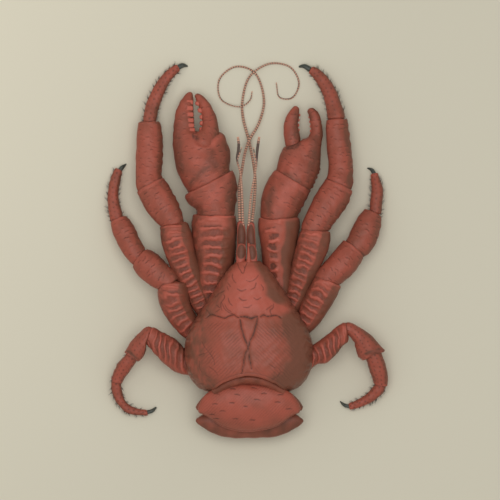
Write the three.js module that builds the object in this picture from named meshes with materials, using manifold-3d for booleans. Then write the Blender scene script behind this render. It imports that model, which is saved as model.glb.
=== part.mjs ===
// A cooked coconut crab lying on its belly, with claws and feelers stretched forward.
// Millimetres, +Z up, +Y towards the claws. The origin is the middle of the base of its box.
import * as THREE from "three";
import { mergeVertices } from "three/addons/utils/BufferGeometryUtils.js";
import Module from "manifold-3d";

const wasm = await Module();
wasm.setup();

// ---------------------------------------------------------------- driving dimensions
const jointGap = 0.45; // clearance where one shell segment sits in the next
const midX = 1.7; // middle plane of the shield
const legFlatness = 0.84; // height of a limb section over its width
const floorBlock = 1200; // side of the block that trims what rests on the ground

// The shield, rear to front: [y, rim height, half width, rise of the back above the rim]
const shieldRows = [
  [-171, 28.5, 46, 27],
  [-165.5, 29, 58.5, 38],
  [-157, 29, 67.5, 45],
  [-149, 29.5, 72.5, 49],
  [-138, 30, 75.8, 51.5],
  [-114, 33, 76.5, 51],
  [-94, 34, 70.5, 48],
  [-74, 35.5, 58.5, 43.5],
  [-48, 38, 42, 36],
  [-33, 40, 31.5, 30],
  [-22, 42, 23.5, 24],
  [-16.5, 43, 17, 19],
];
const shieldSquareness = 0.86; // 1 is an ellipse, less is boxier
const rearNotch = { y: -212, radius: 61.2 }; // round bite in the rear margin of the shield
const grooveSize = 2.4;
const toothRoot = 0.4; // share of a tooth's length that sits inside the finger

// Grooves on the back: [x, y] along each
const grooves = [
  [[-52, -80], [-28, -79], [-10, -81], [8, -80], [28, -79], [50, -81]],
  [[-9, -81], [-4, -99], [1.5, -118]],
  [[12.5, -81], [7, -99], [2, -118]],
  [[-1, -122], [-4, -136], [-6.5, -148]],
  [[3, -122], [5.5, -134], [7, -145]],
];

// The trunk below the shield, rear to front: [y, half width]
const trunkRows = [
  [-160, 46],
  [-142, 65],
  [-108, 60],
  [-84, 52],
  [-68, 44],
  [-54, 26],
];
const trunkTop = 36;

// Lens-shaped tail plates: half length, y of the tips, reach forward and back and how full those
// curves are, spine height, rise, depth and tilt towards the rear in degrees
const tailPlates = {
  tail_plate_2: {
    half: 65.5, x: 2.5, y: -191, front: 32, back: 22, frontBend: 3, backBend: 2,
    z: 33, rise: 16, depth: 14, tilt: 18,
  },
  tail_plate_3: {
    half: 62.5, x: 2, y: -193.5, front: 36, back: 25.5, frontBend: 3, backBend: 2,
    z: 41, rise: 17, depth: 8, tilt: 20,
  },
  tail_plate_4: {
    half: 66, x: 3, y: -204, front: 21, back: 21.8, frontBend: 2.5, backBend: 3.3,
    z: 23, rise: 12, depth: 11, tilt: 10,
  },
  tail_sac: {
    half: 57, x: 2, y: -194, front: 33, back: 26, frontBend: 2.5, backBend: 2.5,
    z: 15, rise: 15, depth: 17, tilt: 0,
  },
};

// The first tail plate, a band that follows the notch of the shield
const firstPlate = { inset: 3, spread: 0.24, z: 56, width: 14, rise: 14, depth: 24 };

// Limb segments, base to end. Rows are [x, y, z, width] along the middle, or rungs from edge to edge
// [left x, left y, right x, right y, z, half height]
const limbs = {
  claw_left: {
    merus: [
      [-36, -72, 21, 27], [-42, -42, 24, 35], [-38.5, -12, 26, 46], [-39.5, 14, 27, 53],
      [-40, 32, 27, 54.5], [-40, 44, 27, 51],
    ],
    carpus: [
      [-62, 35, -15.5, 35, 27, 19], [-61.3, 48, -14.8, 50, 26.8, 20.5],
      [-68.5, 53.5, -13, 63, 26.5, 22.5], [-74.5, 61.5, -12.6, 78, 26, 24.5],
      [-73.5, 67.5, -19, 99.5, 25.2, 24],
    ],
    palm: [
      [-66, 63, -17.5, 90, 25, 21], [-71, 69.7, -21.5, 96.5, 24.8, 23],
      [-80.5, 86.5, -20.5, 107, 24.3, 24], [-86.6, 102, -20.5, 117, 23.8, 23],
      [-88.7, 116, -23.8, 128, 23.3, 20], [-89.5, 126, -28, 138.5, 22.8, 17.5],
      [-89.6, 132, -37, 142, 22.2, 15.5], [-89.6, 136.5, -48, 142, 21.6, 14],
      [-89.5, 140, -57, 141.5, 21, 12.6], [-89.1, 145, -62.3, 143.5, 20.3, 11.5],
      [-87.8, 156, -63.6, 155, 18.8, 10.5], [-86, 167, -64.3, 166.5, 17.3, 9.2],
      [-81.4, 178, -64.6, 177.5, 16, 7.4], [-76.3, 184.5, -65.2, 184.5, 15, 5],
      [-71.2, 189.6, -66.5, 189.6, 14.5, 2.4],
    ],
    finger: [
      [-54.5, 118, 33, 26], [-51.5, 130, 31.5, 29], [-45.8, 143, 27.5, 24.5],
      [-44.9, 152.5, 23.5, 19.6], [-48.2, 166, 19.5, 15], [-52.5, 175.5, 17, 12.5],
      [-57.5, 183.2, 15.5, 9], [-61.3, 187.3, 14.5, 4.5],
    ],
  },
  claw_right: {
    merus: [
      [36, -72, 21, 25], [38.5, -41, 24, 30], [36, -14.5, 26, 36], [37.5, 12, 27, 45.5],
      [38, 31, 27, 50], [38, 40, 27, 47],
    ],
    carpus: [
      [16, 33, 55, 29, 27, 17], [17.2, 63, 63.8, 49.2, 26.5, 20], [24.3, 83.5, 69.7, 60.5, 26, 21],
      [35.2, 98.5, 76.4, 73.6, 24.8, 20],
    ],
    palm: [
      [30.5, 88, 70, 64, 25, 17], [34.9, 97.3, 75.7, 72.7, 24, 18.5], [37.7, 108.3, 84.7, 90.8, 23, 19],
      [41, 117, 87.5, 104, 22, 17], [45, 124, 88.5, 114, 21.3, 14.5], [56, 129, 88.8, 121, 20.6, 12.5],
      [66.5, 132.5, 89, 127, 20, 11], [73.5, 136.5, 90, 134, 18.8, 8.5],
      [76.2, 142, 90.8, 141.6, 17.8, 7], [76.2, 150, 89.8, 151, 17, 6.2],
      [74.2, 159.4, 86.2, 164.6, 15.8, 5.5], [71.5, 168, 77.5, 172, 14.8, 3],
    ],
    finger: [
      [57, 117, 21.5, 15], [55.5, 128, 20.5, 19], [54, 140, 18.8, 18.8], [53.3, 151, 17.4, 17],
      [55.5, 162, 16, 14.5], [60, 172.5, 14.5, 6],
    ],
  },
  leg_1_left: {
    merus: [
      [-44, -86, 21, 20], [-61, -50.5, 25, 26.5], [-75.5, -17, 30, 33.5], [-85, 14.5, 33, 37],
      [-88, 32, 34, 33],
    ],
    carpus: [
      [-88.5, 27, 34, 26], [-90.8, 34.5, 33.3, 29], [-97, 45, 32, 34.5], [-105.8, 58, 30.5, 38],
      [-112, 69.5, 28.7, 38], [-117.4, 79.5, 27, 34.5],
    ],
    propodus: [
      [-113.5, 72, 27.5, 29], [-117.4, 79.5, 26.3, 33], [-118.9, 89, 25, 31],
      [-118.3, 104.3, 22.5, 31.5], [-117.3, 123.8, 19.8, 32.2], [-117.3, 138, 18.3, 30.5],
      [-117.7, 155, 17, 25.5],
    ],
    dactyl: [
      [-117.8, 150, 17, 15], [-116.8, 158, 16, 16.5], [-114.2, 171, 13.8, 16], [-106.5, 191, 10.2, 15],
      [-97.5, 206, 7.8, 12.8], [-87.5, 216, 6, 10.5], [-81.8, 219.5, 5.3, 8],
    ],
    nail: [[-84, 218.5, 5.3, 6.5], [-77, 221.5, 3.6, 5.5], [-71.5, 220.5, 0.9, 1.6]],
  },
  leg_1_right: {
    merus: [
      [45, -86, 21, 20], [57.5, -55, 25, 25], [68, -24, 30, 32], [76.5, 0, 33, 37.5], [81, 15, 34, 38],
      [82.5, 24.5, 34, 34],
    ],
    carpus: [
      [77.5, 14, 34, 27], [80.8, 27, 33.3, 31], [91.4, 45.6, 31, 36.5], [102.8, 63.4, 29, 38.5],
      [110.3, 79.5, 27, 34],
    ],
    propodus: [
      [105.5, 73, 27.5, 28], [109.7, 80, 26.5, 32.5], [111.9, 93, 24, 30], [110.3, 118.6, 20, 29],
      [108, 142.9, 17.8, 27.8], [107.3, 158, 17, 24.5],
    ],
    dactyl: [
      [107.2, 154, 17, 20], [106.7, 161, 16, 21.5], [104.4, 171, 14, 19], [101, 183.5, 11.8, 17.5],
      [95.2, 196, 9.3, 15.8], [85, 209.5, 7, 13], [75.5, 217, 5.5, 9.5],
    ],
    nail: [[76, 216, 5.3, 6.5], [68.5, 220.5, 3.6, 5.5], [62, 220, 0.9, 1.6]],
  },
  leg_2_left: {
    merus: [
      [-50, -107, 20, 21], [-71, -90, 25, 29], [-83, -72, 29, 33.5], [-89, -54, 32, 36.5],
      [-89, -38.5, 32, 34],
    ],
    carpus: [
      [-90, -43, 32.5, 25], [-96, -36.5, 32, 28], [-105, -31, 30.5, 31.5], [-114.8, -22.5, 28, 34],
      [-123, -14.5, 26, 33], [-129.5, -9, 24.3, 26.5],
    ],
    propodus: [
      [-127.5, -12.5, 24.5, 20], [-131, -8.5, 23.5, 23], [-137.4, 1, 22, 25.7], [-145, 15.5, 19, 27],
      [-150.8, 28, 16.5, 25], [-155, 38.5, 14.8, 18.5],
    ],
    dactyl: [
      [-155, 33, 14.5, 14.5], [-157.5, 42, 13, 16], [-160.1, 52, 11.5, 15], [-161, 64, 9.5, 14],
      [-160, 76, 7.8, 13.2], [-157.8, 86.5, 6.3, 11.5], [-153.8, 97, 5.2, 8.5],
    ],
    nail: [[-154, 94, 5.1, 5.5], [-150, 99, 3.4, 5], [-145, 103.5, 0.9, 1.6]],
  },
  leg_2_right: {
    merus: [
      [53, -107, 20, 21], [71.5, -83, 25, 29], [81.5, -66, 29, 33], [91, -50, 32, 35],
      [97.5, -36, 32, 33],
    ],
    carpus: [
      [92.5, -42, 32.5, 27], [97, -33, 31.8, 31], [112.7, -18, 28.5, 34], [123, -4.5, 25.5, 33.5],
      [128.8, 3.5, 24, 31],
    ],
    propodus: [
      [126.5, -3, 24.5, 26], [131, 3, 23.3, 30], [137, 11, 21.5, 33], [141, 20, 19.7, 33.5],
      [146, 34, 17, 29], [151.3, 46, 15, 21.5],
    ],
    dactyl: [
      [153.5, 42, 14.5, 13.5], [155, 60, 11.5, 14.5], [155.5, 73, 9, 14], [152.5, 92.5, 5.3, 8.5],
    ],
    nail: [[153, 90, 5.1, 5.5], [149.5, 96, 3.4, 5], [144, 98.5, 0.9, 1.6]],
  },
  leg_3_left: {
    merus: [
      [-52, -154, -57, -134, 19, 12], [-66, -150.5, -68, -127, 21, 13],
      [-84.4, -147.3, -82, -110, 24.5, 15], [-98.4, -137.7, -95.1, -101.6, 28, 14.8],
      [-109.1, -126.9, -103.7, -97.6, 31, 13], [-116.4, -118, -110.4, -93.3, 32.5, 11.5],
      [-121, -112, -115.7, -92.4, 33, 10],
    ],
    carpus: [
      [-119.6, -110.8, -111.5, -94.7, 33, 7.5], [-121.2, -113.6, -117.7, -92.3, 32.7, 9.5],
      [-121.3, -120.7, -127.1, -97.3, 31.5, 10.5], [-123.1, -126, -135.1, -104.7, 29.5, 11],
      [-126.4, -130.3, -142.4, -115.3, 27, 10.8], [-132, -134, -147.7, -123.7, 25, 9.5],
    ],
    propodus: [
      [-130.4, -130, -144.4, -121.5, 25.3, 7.2], [-132.7, -133.6, -148, -126.7, 24, 8.2],
      [-138, -141.3, -155.3, -135.3, 20.5, 8.8], [-143.7, -149.3, -159.1, -144, 17, 8],
      [-148.1, -155.7, -162.3, -152, 14.3, 7.2], [-151.1, -161.7, -164, -159, 12.5, 6.3],
    ],
    dactyl: [
      [-157.5, -153.5, 13.5, 10], [-157.6, -160, 12, 12], [-156.8, -167.5, 10.7, 12.2],
      [-154, -177, 9.2, 11.2], [-149.1, -185.3, 7.9, 10.6], [-143.1, -190.7, 7, 10],
      [-135.1, -193.6, 6, 8.6], [-125.7, -194.9, 5, 7], [-119.2, -195.3, 4.4, 5.8],
    ],
    nail: [[-121, -195, 4.4, 4.5], [-114.5, -193, 3.2, 4.5], [-109, -188.5, 0.9, 1.6]],
  },
  leg_3_right: {
    merus: [
      [52, -129, 58, -154, 19, 12], [65.6, -119.5, 72, -146, 22, 13],
      [77.5, -114, 83.1, -137, 25, 12.5], [86.6, -108.7, 94.3, -136.3, 27.5, 12.3],
      [97.8, -100, 104.8, -127.3, 30.5, 12], [107.6, -91.3, 111.1, -118.9, 32.5, 11.5],
      [115.3, -87, 117.4, -112.6, 33.3, 10.8], [120.2, -86.6, 120.2, -109.1, 33.5, 10],
    ],
    carpus: [
      [114, -89.5, 114, -99.5, 33.3, 6.5], [121.6, -86.6, 120.5, -101.7, 32.7, 8.5],
      [135.6, -92.7, 127.9, -109.5, 30.5, 10], [149.6, -103.5, 131.3, -121, 27.5, 11],
      [159.4, -114.7, 134.2, -128.7, 25, 10.8], [165.7, -121.6, 140, -132.8, 23.3, 8.5],
    ],
    propodus: [
      [159.3, -118.5, 140.8, -121.7, 24.5, 7.3], [161.5, -125.9, 141.2, -127.6, 23, 8.5],
      [165.7, -135, 144.7, -137.5, 20.3, 9], [168, -147.6, 149.3, -150.4, 16.5, 8.2],
      [168.2, -158.8, 151.6, -159.5, 13.5, 7.3], [167, -165, 152.4, -163, 12, 6.5],
    ],
    dactyl: [
      [159.8, -158.5, 12, 12], [158, -166, 10.8, 14.5], [153.5, -171.8, 9.5, 14],
      [145, -178.3, 7.5, 11.5], [133, -184.6, 5.8, 9], [121.5, -188, 4.3, 6.5],
    ],
    nail: [[124, -188, 4.4, 4.5], [116.5, -186, 3.2, 4.5], [111, -181, 0.9, 1.6]],
  },
};

// Head pieces, base to end: [x, y, z, width]
const headPieces = {
  eyestalk_left: [[-8, -19, 51, 10], [-7.4, -5, 52, 12], [-6.7, 8, 51.5, 9.5]],
  eyestalk_right: [[7, -20, 51, 10], [5.8, -6, 52, 12], [4.6, 7, 51.5, 9.5]],
  feeler_base_left: [[-7, -26, 40, 9], [-7, 2, 40.5, 10.5], [-7, 20.5, 40, 10.5], [-8, 35, 38, 8]],
  feeler_base_right: [[5.2, -26, 40, 9], [5, 2, 40.5, 10.5], [4.3, 19, 40, 10.5], [4.5, 33.5, 38, 8]],
  jaw_foot_left: [[-8, -62, 24, 10], [-8, -42, 22, 10], [-6, -24, 18, 9], [-5, -8, 14, 5]],
  jaw_foot_right: [[10, -62, 24, 10], [10, -42, 22, 10], [8, -24, 18, 9], [6.5, -8, 14, 5]],
};

// Whips: they leave the feeler bases, sink to the ground, cross and curl. The small ones fork
const whips = {
  feeler_left: [
    [-8.5, 29, 38.5, 4], [-9.5, 75.5, 27, 3.8], [-6, 98.5, 20, 3.7], [-2.5, 117.5, 14.5, 3.6],
    [2, 131, 10, 3.6], [14, 152.5, 4, 3.3], [20, 180, 1.6, 3], [8.5, 213, 1.4, 2.6],
    [-14, 220, 1.2, 2.3], [-33.5, 204.5, 1.1, 2], [-31.5, 181, 1.4, 1.8], [-8.5, 172, 4.6, 1.6],
    [3.5, 180, 1.8, 1.5], [5.5, 188.5, 0.8, 1.3],
  ],
  feeler_right: [
    [5, 28, 38.5, 4], [8.5, 60.5, 29, 3.9], [9.5, 84, 22, 3.7], [7.5, 103, 14.5, 3.6], [2, 131, 5, 3.6],
    [-5, 158.5, 2, 3.3], [-6, 177, 1.6, 3], [0, 203, 2.6, 2.7], [8.5, 214, 5.4, 2.6],
    [29, 224, 1.8, 2.4], [52, 219, 1.2, 2.2], [62, 200, 1.1, 2], [53.5, 182.5, 1, 1.8],
    [38.5, 183.5, 0.9, 1.5], [35, 199, 0.8, 1.3],
  ],
  small_feeler_left: [
    [-5, 29, 41, 3], [-6.4, 67, 38, 2.8], [-8.3, 92.5, 34.5, 2.6], [-11.4, 104, 32.6, 2.6],
    [-12.3, 110, 31.5, 3.2], [-10.8, 119, 30.3, 3.7], [-10.3, 127, 29.5, 3.6], [-11, 133.5, 29, 3],
  ],
  small_feeler_right: [
    [1.6, 29, 41, 3], [4.6, 65, 38, 2.8], [9.4, 92.5, 34.5, 2.6], [10.9, 105.5, 32.6, 2.9],
    [11.9, 118.5, 30.8, 3.6], [13.2, 129, 29.5, 3.7], [14, 133.5, 29, 3],
  ],
};
const whipBranches = {
  small_feeler_left: [[-12, 108.5, 31.8, 2.2], [-9.6, 115, 32.2, 1.8], [-7.2, 121.5, 32.2, 1.2]],
  small_feeler_right: [[10.8, 105, 32.8, 2.2], [9.2, 112.5, 33, 1.8], [7.8, 121, 32.6, 1.2]],
};

// Teeth of the claws: their roots [x, y, z], the way they point, and their size
const teeth = {
  claw_left_palm: {
    roots: [
      [-68.5, 144, 28], [-69.7, 149.5, 27], [-70.4, 155.6, 25.8], [-71, 162.6, 24.4],
      [-71.6, 170.2, 22.6], [-71.7, 177.2, 20.2],
    ],
    aim: [1, 0, -0.35],
    length: 5.6, half: 2.4, tall: 2.2, growth: 0.04, taper: 0.95,
  },
  claw_left_finger: {
    roots: [
      [-53, 145, 25], [-52.6, 152.5, 23.2], [-53.2, 159.6, 21.2], [-54.6, 166.8, 19.4],
      [-57.6, 173.2, 17.6],
    ],
    aim: [-1, 0.1, 0],
    length: 5.4, half: 3.7, tall: 3.4, growth: -0.05, taper: 0.3,
  },
  claw_right_palm: {
    roots: [[77, 143, 18], [76.8, 148.5, 17.2], [76, 154, 16.5], [75, 159.5, 15.8]],
    aim: [-1, 0.05, 0],
    length: 2.8, half: 2.2, tall: 2.4, growth: -0.05, taper: 0.5,
  },
  claw_right_finger: {
    roots: [[61, 144, 18.5], [60.8, 150, 17.5], [61.3, 156, 16.7], [62.3, 162, 16]],
    aim: [1, 0.05, 0],
    length: 2.8, half: 2.2, tall: 2.4, growth: -0.05, taper: 0.5,
  },
};

// ---------------------------------------------------------------- colours
const shell = new THREE.MeshStandardMaterial({ color: 0xaa5546, roughness: 0.42, metalness: 0 });
const shellDark = new THREE.MeshStandardMaterial({ color: 0x7f4436, roughness: 0.5, metalness: 0 });
const underside = new THREE.MeshStandardMaterial({ color: 0xb9715a, roughness: 0.6, metalness: 0 });
const nailBlack = new THREE.MeshStandardMaterial({ color: 0x3b4139, roughness: 0.4, metalness: 0 });
const feelerTan = new THREE.MeshStandardMaterial({ color: 0xd69a78, roughness: 0.55, metalness: 0 });

// ---------------------------------------------------------------- making and cutting solids
function solidOf(geometry) {
  geometry.deleteAttribute("normal");
  geometry.deleteAttribute("uv");
  const merged = mergeVertices(geometry, 1e-4);
  return new wasm.Manifold(new wasm.Mesh({
    numProp: 3,
    vertProperties: Float32Array.from(merged.attributes.position.array),
    triVerts: Uint32Array.from(merged.index.array),
  }));
}

function cut(solid, cutters) {
  return cutters.reduce((rest, cutter) => rest.subtract(cutter), solid);
}

function join(solids) {
  return solids.reduce((whole, solid) => whole.add(solid));
}

// Cutting can leave crumbs: the piece itself is the largest body
function largestBody(solid) {
  return solid.decompose().reduce((best, body) => (body.volume() > best.volume() ? body : best));
}

const ground = solidOf(new THREE.BoxGeometry(floorBlock, floorBlock, floorBlock)
  .translate(0, 0, -floorBlock / 2));

const signedPower = (value, power) => Math.sign(value) * Math.abs(value) ** power;

const up = new THREE.Vector3(0, 0, 1);

// A lathe bent along a spine. Stations are [x, y, z, width, rise, depth], and may end with the
// direction of the section in plan: the section is half an ellipse above the spine and half an
// ellipse below it, and both ends are rounded. Rings crowd towards the start if crowd is over 1.
function loft(stations, options = {}) {
  const { sides = 10, rings = 6, startRound = 0.6, endRound = 0.3, squareness = 1, tilt = 0 } = options;
  const { ridges = 0, ridgeHeight = 0, grow = 0, capRings = 2, crowd = 1 } = options;
  const spine = new THREE.CatmullRomCurve3(stations.map(([x, y, z]) => new THREE.Vector3(x, y, z)));
  const sizes = new THREE.CatmullRomCurve3(
    stations.map(([, , , width, rise, depth]) => new THREE.Vector3(width / 2, rise, depth)),
    false,
    "catmullrom",
  );
  const across = stations[0].length > 6 && new THREE.CatmullRomCurve3(
    stations.map((station) => new THREE.Vector3(station[6], station[7], 0)),
    false,
    "catmullrom",
  );
  const length = spine.getLength();
  const startCap = startRound * sizes.getPoint(0).x;
  const endCap = endRound * sizes.getPoint(1).x;
  const capAngles = Array.from({ length: capRings }, (_, ring) => (ring * Math.PI) / (2 * capRings));

  // Distance along the spine: the body between the caps, and the two caps pushed out by grow
  const bodyStart = startCap - grow;
  const bodyEnd = length - endCap + grow;
  const profile = capAngles.map((angle) => new THREE.Vector2(
    Math.sin(angle),
    bodyStart - startCap * Math.cos(angle),
  ));
  profile.push(new THREE.Vector2(1, bodyStart));
  for (let ring = 1; ring < rings; ring += 1) {
    const share = (ring / rings) ** crowd;
    profile.push(new THREE.Vector2(1, startCap + (length - startCap - endCap) * share));
  }
  profile.push(new THREE.Vector2(1, bodyEnd));
  for (const angle of capAngles.toReversed()) {
    profile.push(new THREE.Vector2(Math.sin(angle), bodyEnd + endCap * Math.cos(angle)));
  }

  const geometry = new THREE.LatheGeometry(profile, sides);
  const position = geometry.attributes.position;
  for (let i = 0; i < position.count; i += 1) {
    const share = Math.hypot(position.getX(i), position.getZ(i));
    const angle = Math.atan2(position.getZ(i), position.getX(i));
    const distance = position.getY(i);
    const along = THREE.MathUtils.clamp(distance / length, 0, 1);
    const t = spine.getUtoTmapping(along);
    const tangent = spine.getTangent(t);
    const side = new THREE.Vector3().crossVectors(tangent, up).normalize();
    if (across) {
      side.copy(across.getPoint(t)).normalize();
      tangent.crossVectors(up, side);
    }
    const lift = new THREE.Vector3().crossVectors(side, tangent);
    side.applyAxisAngle(tangent, tilt);
    lift.applyAxisAngle(tangent, tilt);
    const size = sizes.getPoint(t);
    const ridge = ridgeHeight * Math.max(0, Math.sin(angle)) * Math.sin(along * ridges * Math.PI) ** 2;
    const reach = Math.sin(angle) > 0 ? size.y + ridge : size.z;
    const place = spine.getPoint(t)
      .addScaledVector(tangent, distance - along * length)
      .addScaledVector(side, share * (size.x + grow) * signedPower(Math.cos(angle), squareness))
      .addScaledVector(lift, share * (reach + grow) * signedPower(Math.sin(angle), squareness));
    position.setXYZ(i, place.x, place.y, place.z);
  }
  return solidOf(geometry);
}

// Stations of a round limb, with the same rise and depth
const roundStations = (rows, flatness) => rows.map(([x, y, z, width]) => [
  x, y, z, width, (width * flatness) / 2, (width * flatness) / 2,
]);

// Stations of a limb given by rungs from its left edge to its right edge
const rungStations = (rows) => rows.map(([leftX, leftY, rightX, rightY, z, half]) => {
  const width = Math.hypot(rightX - leftX, rightY - leftY);
  return [
    (leftX + rightX) / 2, (leftY + rightY) / 2, z, width, half, half,
    (rightX - leftX) / width, (rightY - leftY) / width,
  ];
});

// ---------------------------------------------------------------- limbs
const segmentShapes = {
  merus: { sides: 8, rings: 6, startRound: 0.5, endRound: 0.15 },
  carpus: { sides: 8, rings: 4, startRound: 0.3, endRound: 0.12 },
  propodus: { sides: 8, rings: 4, startRound: 0.3, endRound: 0.2 },
  dactyl: { sides: 8, rings: 4, startRound: 0.5, endRound: 0.4 },
  nail: { sides: 5, rings: 2, startRound: 0.6, endRound: 0.8, capRings: 1 },
};
const clawShapes = {
  merus: { ...segmentShapes.merus, rings: 14, ridges: 7, ridgeHeight: 1.6 },
  carpus: { ...segmentShapes.carpus, sides: 10 },
  palm: { sides: 10, rings: 12, startRound: 0.2, endRound: 0.8 },
  finger: { sides: 8, rings: 5, startRound: 0.9, endRound: 0.8 },
};

function limbSolid(limb, segment, grow = 0) {
  const shape = limb.startsWith("claw") ? clawShapes[segment] : segmentShapes[segment];
  const rows = limbs[limb][segment];
  const stations = rows[0].length > 4 ? rungStations(rows) : roundStations(rows, legFlatness);
  return loft(stations, { ...shape, grow });
}

// Blunt four-sided teeth on the inner edge of a finger
function toothRow(name) {
  const { roots, aim, length, half, tall, growth, taper } = teeth[name];
  const forward = new THREE.Vector3(...aim).normalize();
  const side = new THREE.Vector3().crossVectors(forward, up).normalize();
  const lift = new THREE.Vector3().crossVectors(side, forward);
  const turn = new THREE.Matrix4().makeBasis(side, forward, lift);
  const corner = Math.SQRT2;
  return join(roots.map((root, i) => {
    const size = 1 + growth * i;
    const tooth = new THREE.CylinderGeometry(corner * taper, corner, length * (1 + toothRoot) * size, 4);
    tooth.rotateY(Math.PI / 4);
    tooth.scale(half * size, 1, tall * size);
    tooth.translate(0, (length * (1 - toothRoot) * size) / 2, 0);
    tooth.applyMatrix4(turn);
    return solidOf(tooth.translate(...root));
  }));
}

// ---------------------------------------------------------------- shield, trunk and tail
const shieldStations = shieldRows.map(([y, rim, half, rise]) => [midX, y, rim, half * 2, rise, 2]);

function shieldSolid(grow = 0) {
  const dome = loft(shieldStations, {
    sides: 16, rings: 12, startRound: 0.02, endRound: 0.3, capRings: 1, crowd: 1.5,
    squareness: shieldSquareness, grow,
  });
  const beak = loft(
    [[midX, -30, 58, 11, 4, 8], [midX, -14, 57, 5.5, 3, 5], [midX, 8.4, 52, 2.4, 1.5, 2]],
    { sides: 6, rings: 3, endRound: 0.8, grow },
  );
  const notch = solidOf(new THREE.CylinderGeometry(
    rearNotch.radius - grow, rearNotch.radius - grow, 200, 32,
  ).rotateX(Math.PI / 2).translate(midX, rearNotch.y, 50));
  return join([dome, beak]).subtract(notch);
}

// Height of the back over a point of the plan
function backHeight(x, y) {
  const next = Math.max(1, shieldRows.findIndex(([rowY]) => rowY >= y));
  const [before, after] = [shieldRows[next - 1], shieldRows[next]];
  const share = (y - before[0]) / (after[0] - before[0]);
  const [, rim, half, rise] = before.map((value, i) => THREE.MathUtils.lerp(value, after[i], share));
  const off = Math.min(1, Math.abs(x - midX) / half);
  return rim + rise * (1 - off ** (2 / shieldSquareness)) ** (shieldSquareness / 2);
}

function grooveSolid(points) {
  const stations = points.map(([x, y]) => [x, y, backHeight(x, y), grooveSize, grooveSize, grooveSize]);
  return loft(stations, { sides: 4, rings: 3, startRound: 1, endRound: 1, capRings: 1 });
}

function trunkSolid() {
  const middle = trunkTop / 2;
  return loft(
    trunkRows.map(([y, half]) => [midX, y, middle, half * 2, middle, middle + 1.5]),
    { sides: 10, rings: 4, startRound: 0.25, endRound: 0.4, squareness: 0.6 },
  );
}

function tailSolid(plate, grow = 0) {
  const { half, x, y, front, back, frontBend, backBend, z, rise, depth, tilt } = plate;
  const stations = [];
  for (let step = -8; step <= 8; step += 1) {
    const u = step / 8.2;
    const reachFront = front * (1 - Math.abs(u) ** frontBend);
    const reachBack = back * (1 - Math.abs(u) ** backBend);
    const swell = (1 - u * u) ** 0.45;
    const middle = y + (reachFront - reachBack) / 2;
    stations.push([x + half * u, middle, z, reachFront + reachBack, rise * swell, depth * swell]);
  }
  return loft(stations, {
    sides: 8, rings: 8, startRound: 0.3, endRound: 0.3, capRings: 1, grow,
    tilt: THREE.MathUtils.degToRad(tilt),
  });
}

// Its middle is its highest point, and it gets lower and shallower towards both ends
function firstTailPlate(grow = 0) {
  const { inset, spread, z, width, rise, depth } = firstPlate;
  const radius = rearNotch.radius - inset;
  const stations = [];
  for (let step = -3; step <= 3; step += 1) {
    const angle = step * spread;
    const x = midX + radius * Math.sin(angle);
    const y = rearNotch.y + radius * Math.cos(angle);
    stations.push([x, y, z - 1.6 * step * step, width, rise, depth - step * step]);
  }
  return loft(stations, { sides: 8, rings: 5, startRound: 0.5, endRound: 0.5, capRings: 1, grow });
}

// ---------------------------------------------------------------- head
function headSolid(name, grow = 0) {
  return loft(roundStations(headPieces[name], 0.95), {
    sides: 6, rings: 3, startRound: 0.7, endRound: 0.7, grow,
  });
}

function whipSolid(name, grow = 0) {
  const shape = { sides: 6, startRound: 0.6, endRound: 1, capRings: 1, grow };
  const branch = whipBranches[name];
  const whip = loft(roundStations(whips[name], 1), { ...shape, rings: branch ? 6 : 31 });
  return branch ? whip.add(loft(roundStations(branch, 1), { ...shape, rings: 1 })) : whip;
}

// ---------------------------------------------------------------- the whole crab
const solids = {};
const materials = {};

function place(name, solid, material) {
  solids[name] = largestBody(solid.subtract(ground));
  materials[name] = material;
}

const shieldGrown = shieldSolid(jointGap);
const limbNames = Object.keys(limbs);
const sides = ["left", "right"];

// Limbs: every segment is cut out for the base of the next one
for (const limb of limbNames) {
  const order = Object.keys(limbs[limb]);
  order.forEach((segment, i) => {
    let solid = limbSolid(limb, segment);
    if (teeth[`${limb}_${segment}`]) {
      solid = solid.add(toothRow(`${limb}_${segment}`));
    }
    if (segment === "merus") {
      solid = solid.subtract(shieldGrown);
    }
    const next = order[i + 1];
    if (next) {
      solid = solid.subtract(limbSolid(limb, next, jointGap));
    }
    place(`${limb}_${segment}`, solid, segment === "nail" ? nailBlack : shell);
  });
}

// Neighbouring limbs press on each other's upper part: the rear one gives way
const pressed = [
  ["leg_1_left_merus", "claw_left"],
  ["leg_1_right_merus", "claw_right"],
  ["leg_2_left_merus", "leg_1_left"],
  ["leg_2_left_carpus", "leg_1_left"],
  ["leg_2_right_merus", "leg_1_right"],
  ["leg_3_left_merus", "leg_2_left"],
  ["leg_3_right_merus", "leg_2_right"],
];
for (const [name, neighbour] of pressed) {
  place(name, solids[name].subtract(limbSolid(neighbour, "merus", jointGap)), shell);
}

// Head pieces sit in hollows of the shield, and the whips in hollows of the feeler bases
for (const side of sides) {
  place(`eyestalk_${side}`, headSolid(`eyestalk_${side}`), shellDark);
  const whipCuts = [whipSolid(`feeler_${side}`, jointGap), whipSolid(`small_feeler_${side}`, jointGap)];
  place(`feeler_base_${side}`, cut(headSolid(`feeler_base_${side}`), whipCuts), shellDark);
  place(`jaw_foot_${side}`, headSolid(`jaw_foot_${side}`).subtract(shieldGrown), shell);
  place(`feeler_${side}`, whipSolid(`feeler_${side}`), feelerTan);
  place(`small_feeler_${side}`, whipSolid(`small_feeler_${side}`), feelerTan);
}
const headCuts = sides.flatMap((side) => [
  headSolid(`eyestalk_${side}`, jointGap),
  headSolid(`feeler_base_${side}`, jointGap),
]);
place("shield", cut(shieldSolid(), [...grooves.map(grooveSolid), ...headCuts]), shell);

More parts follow.
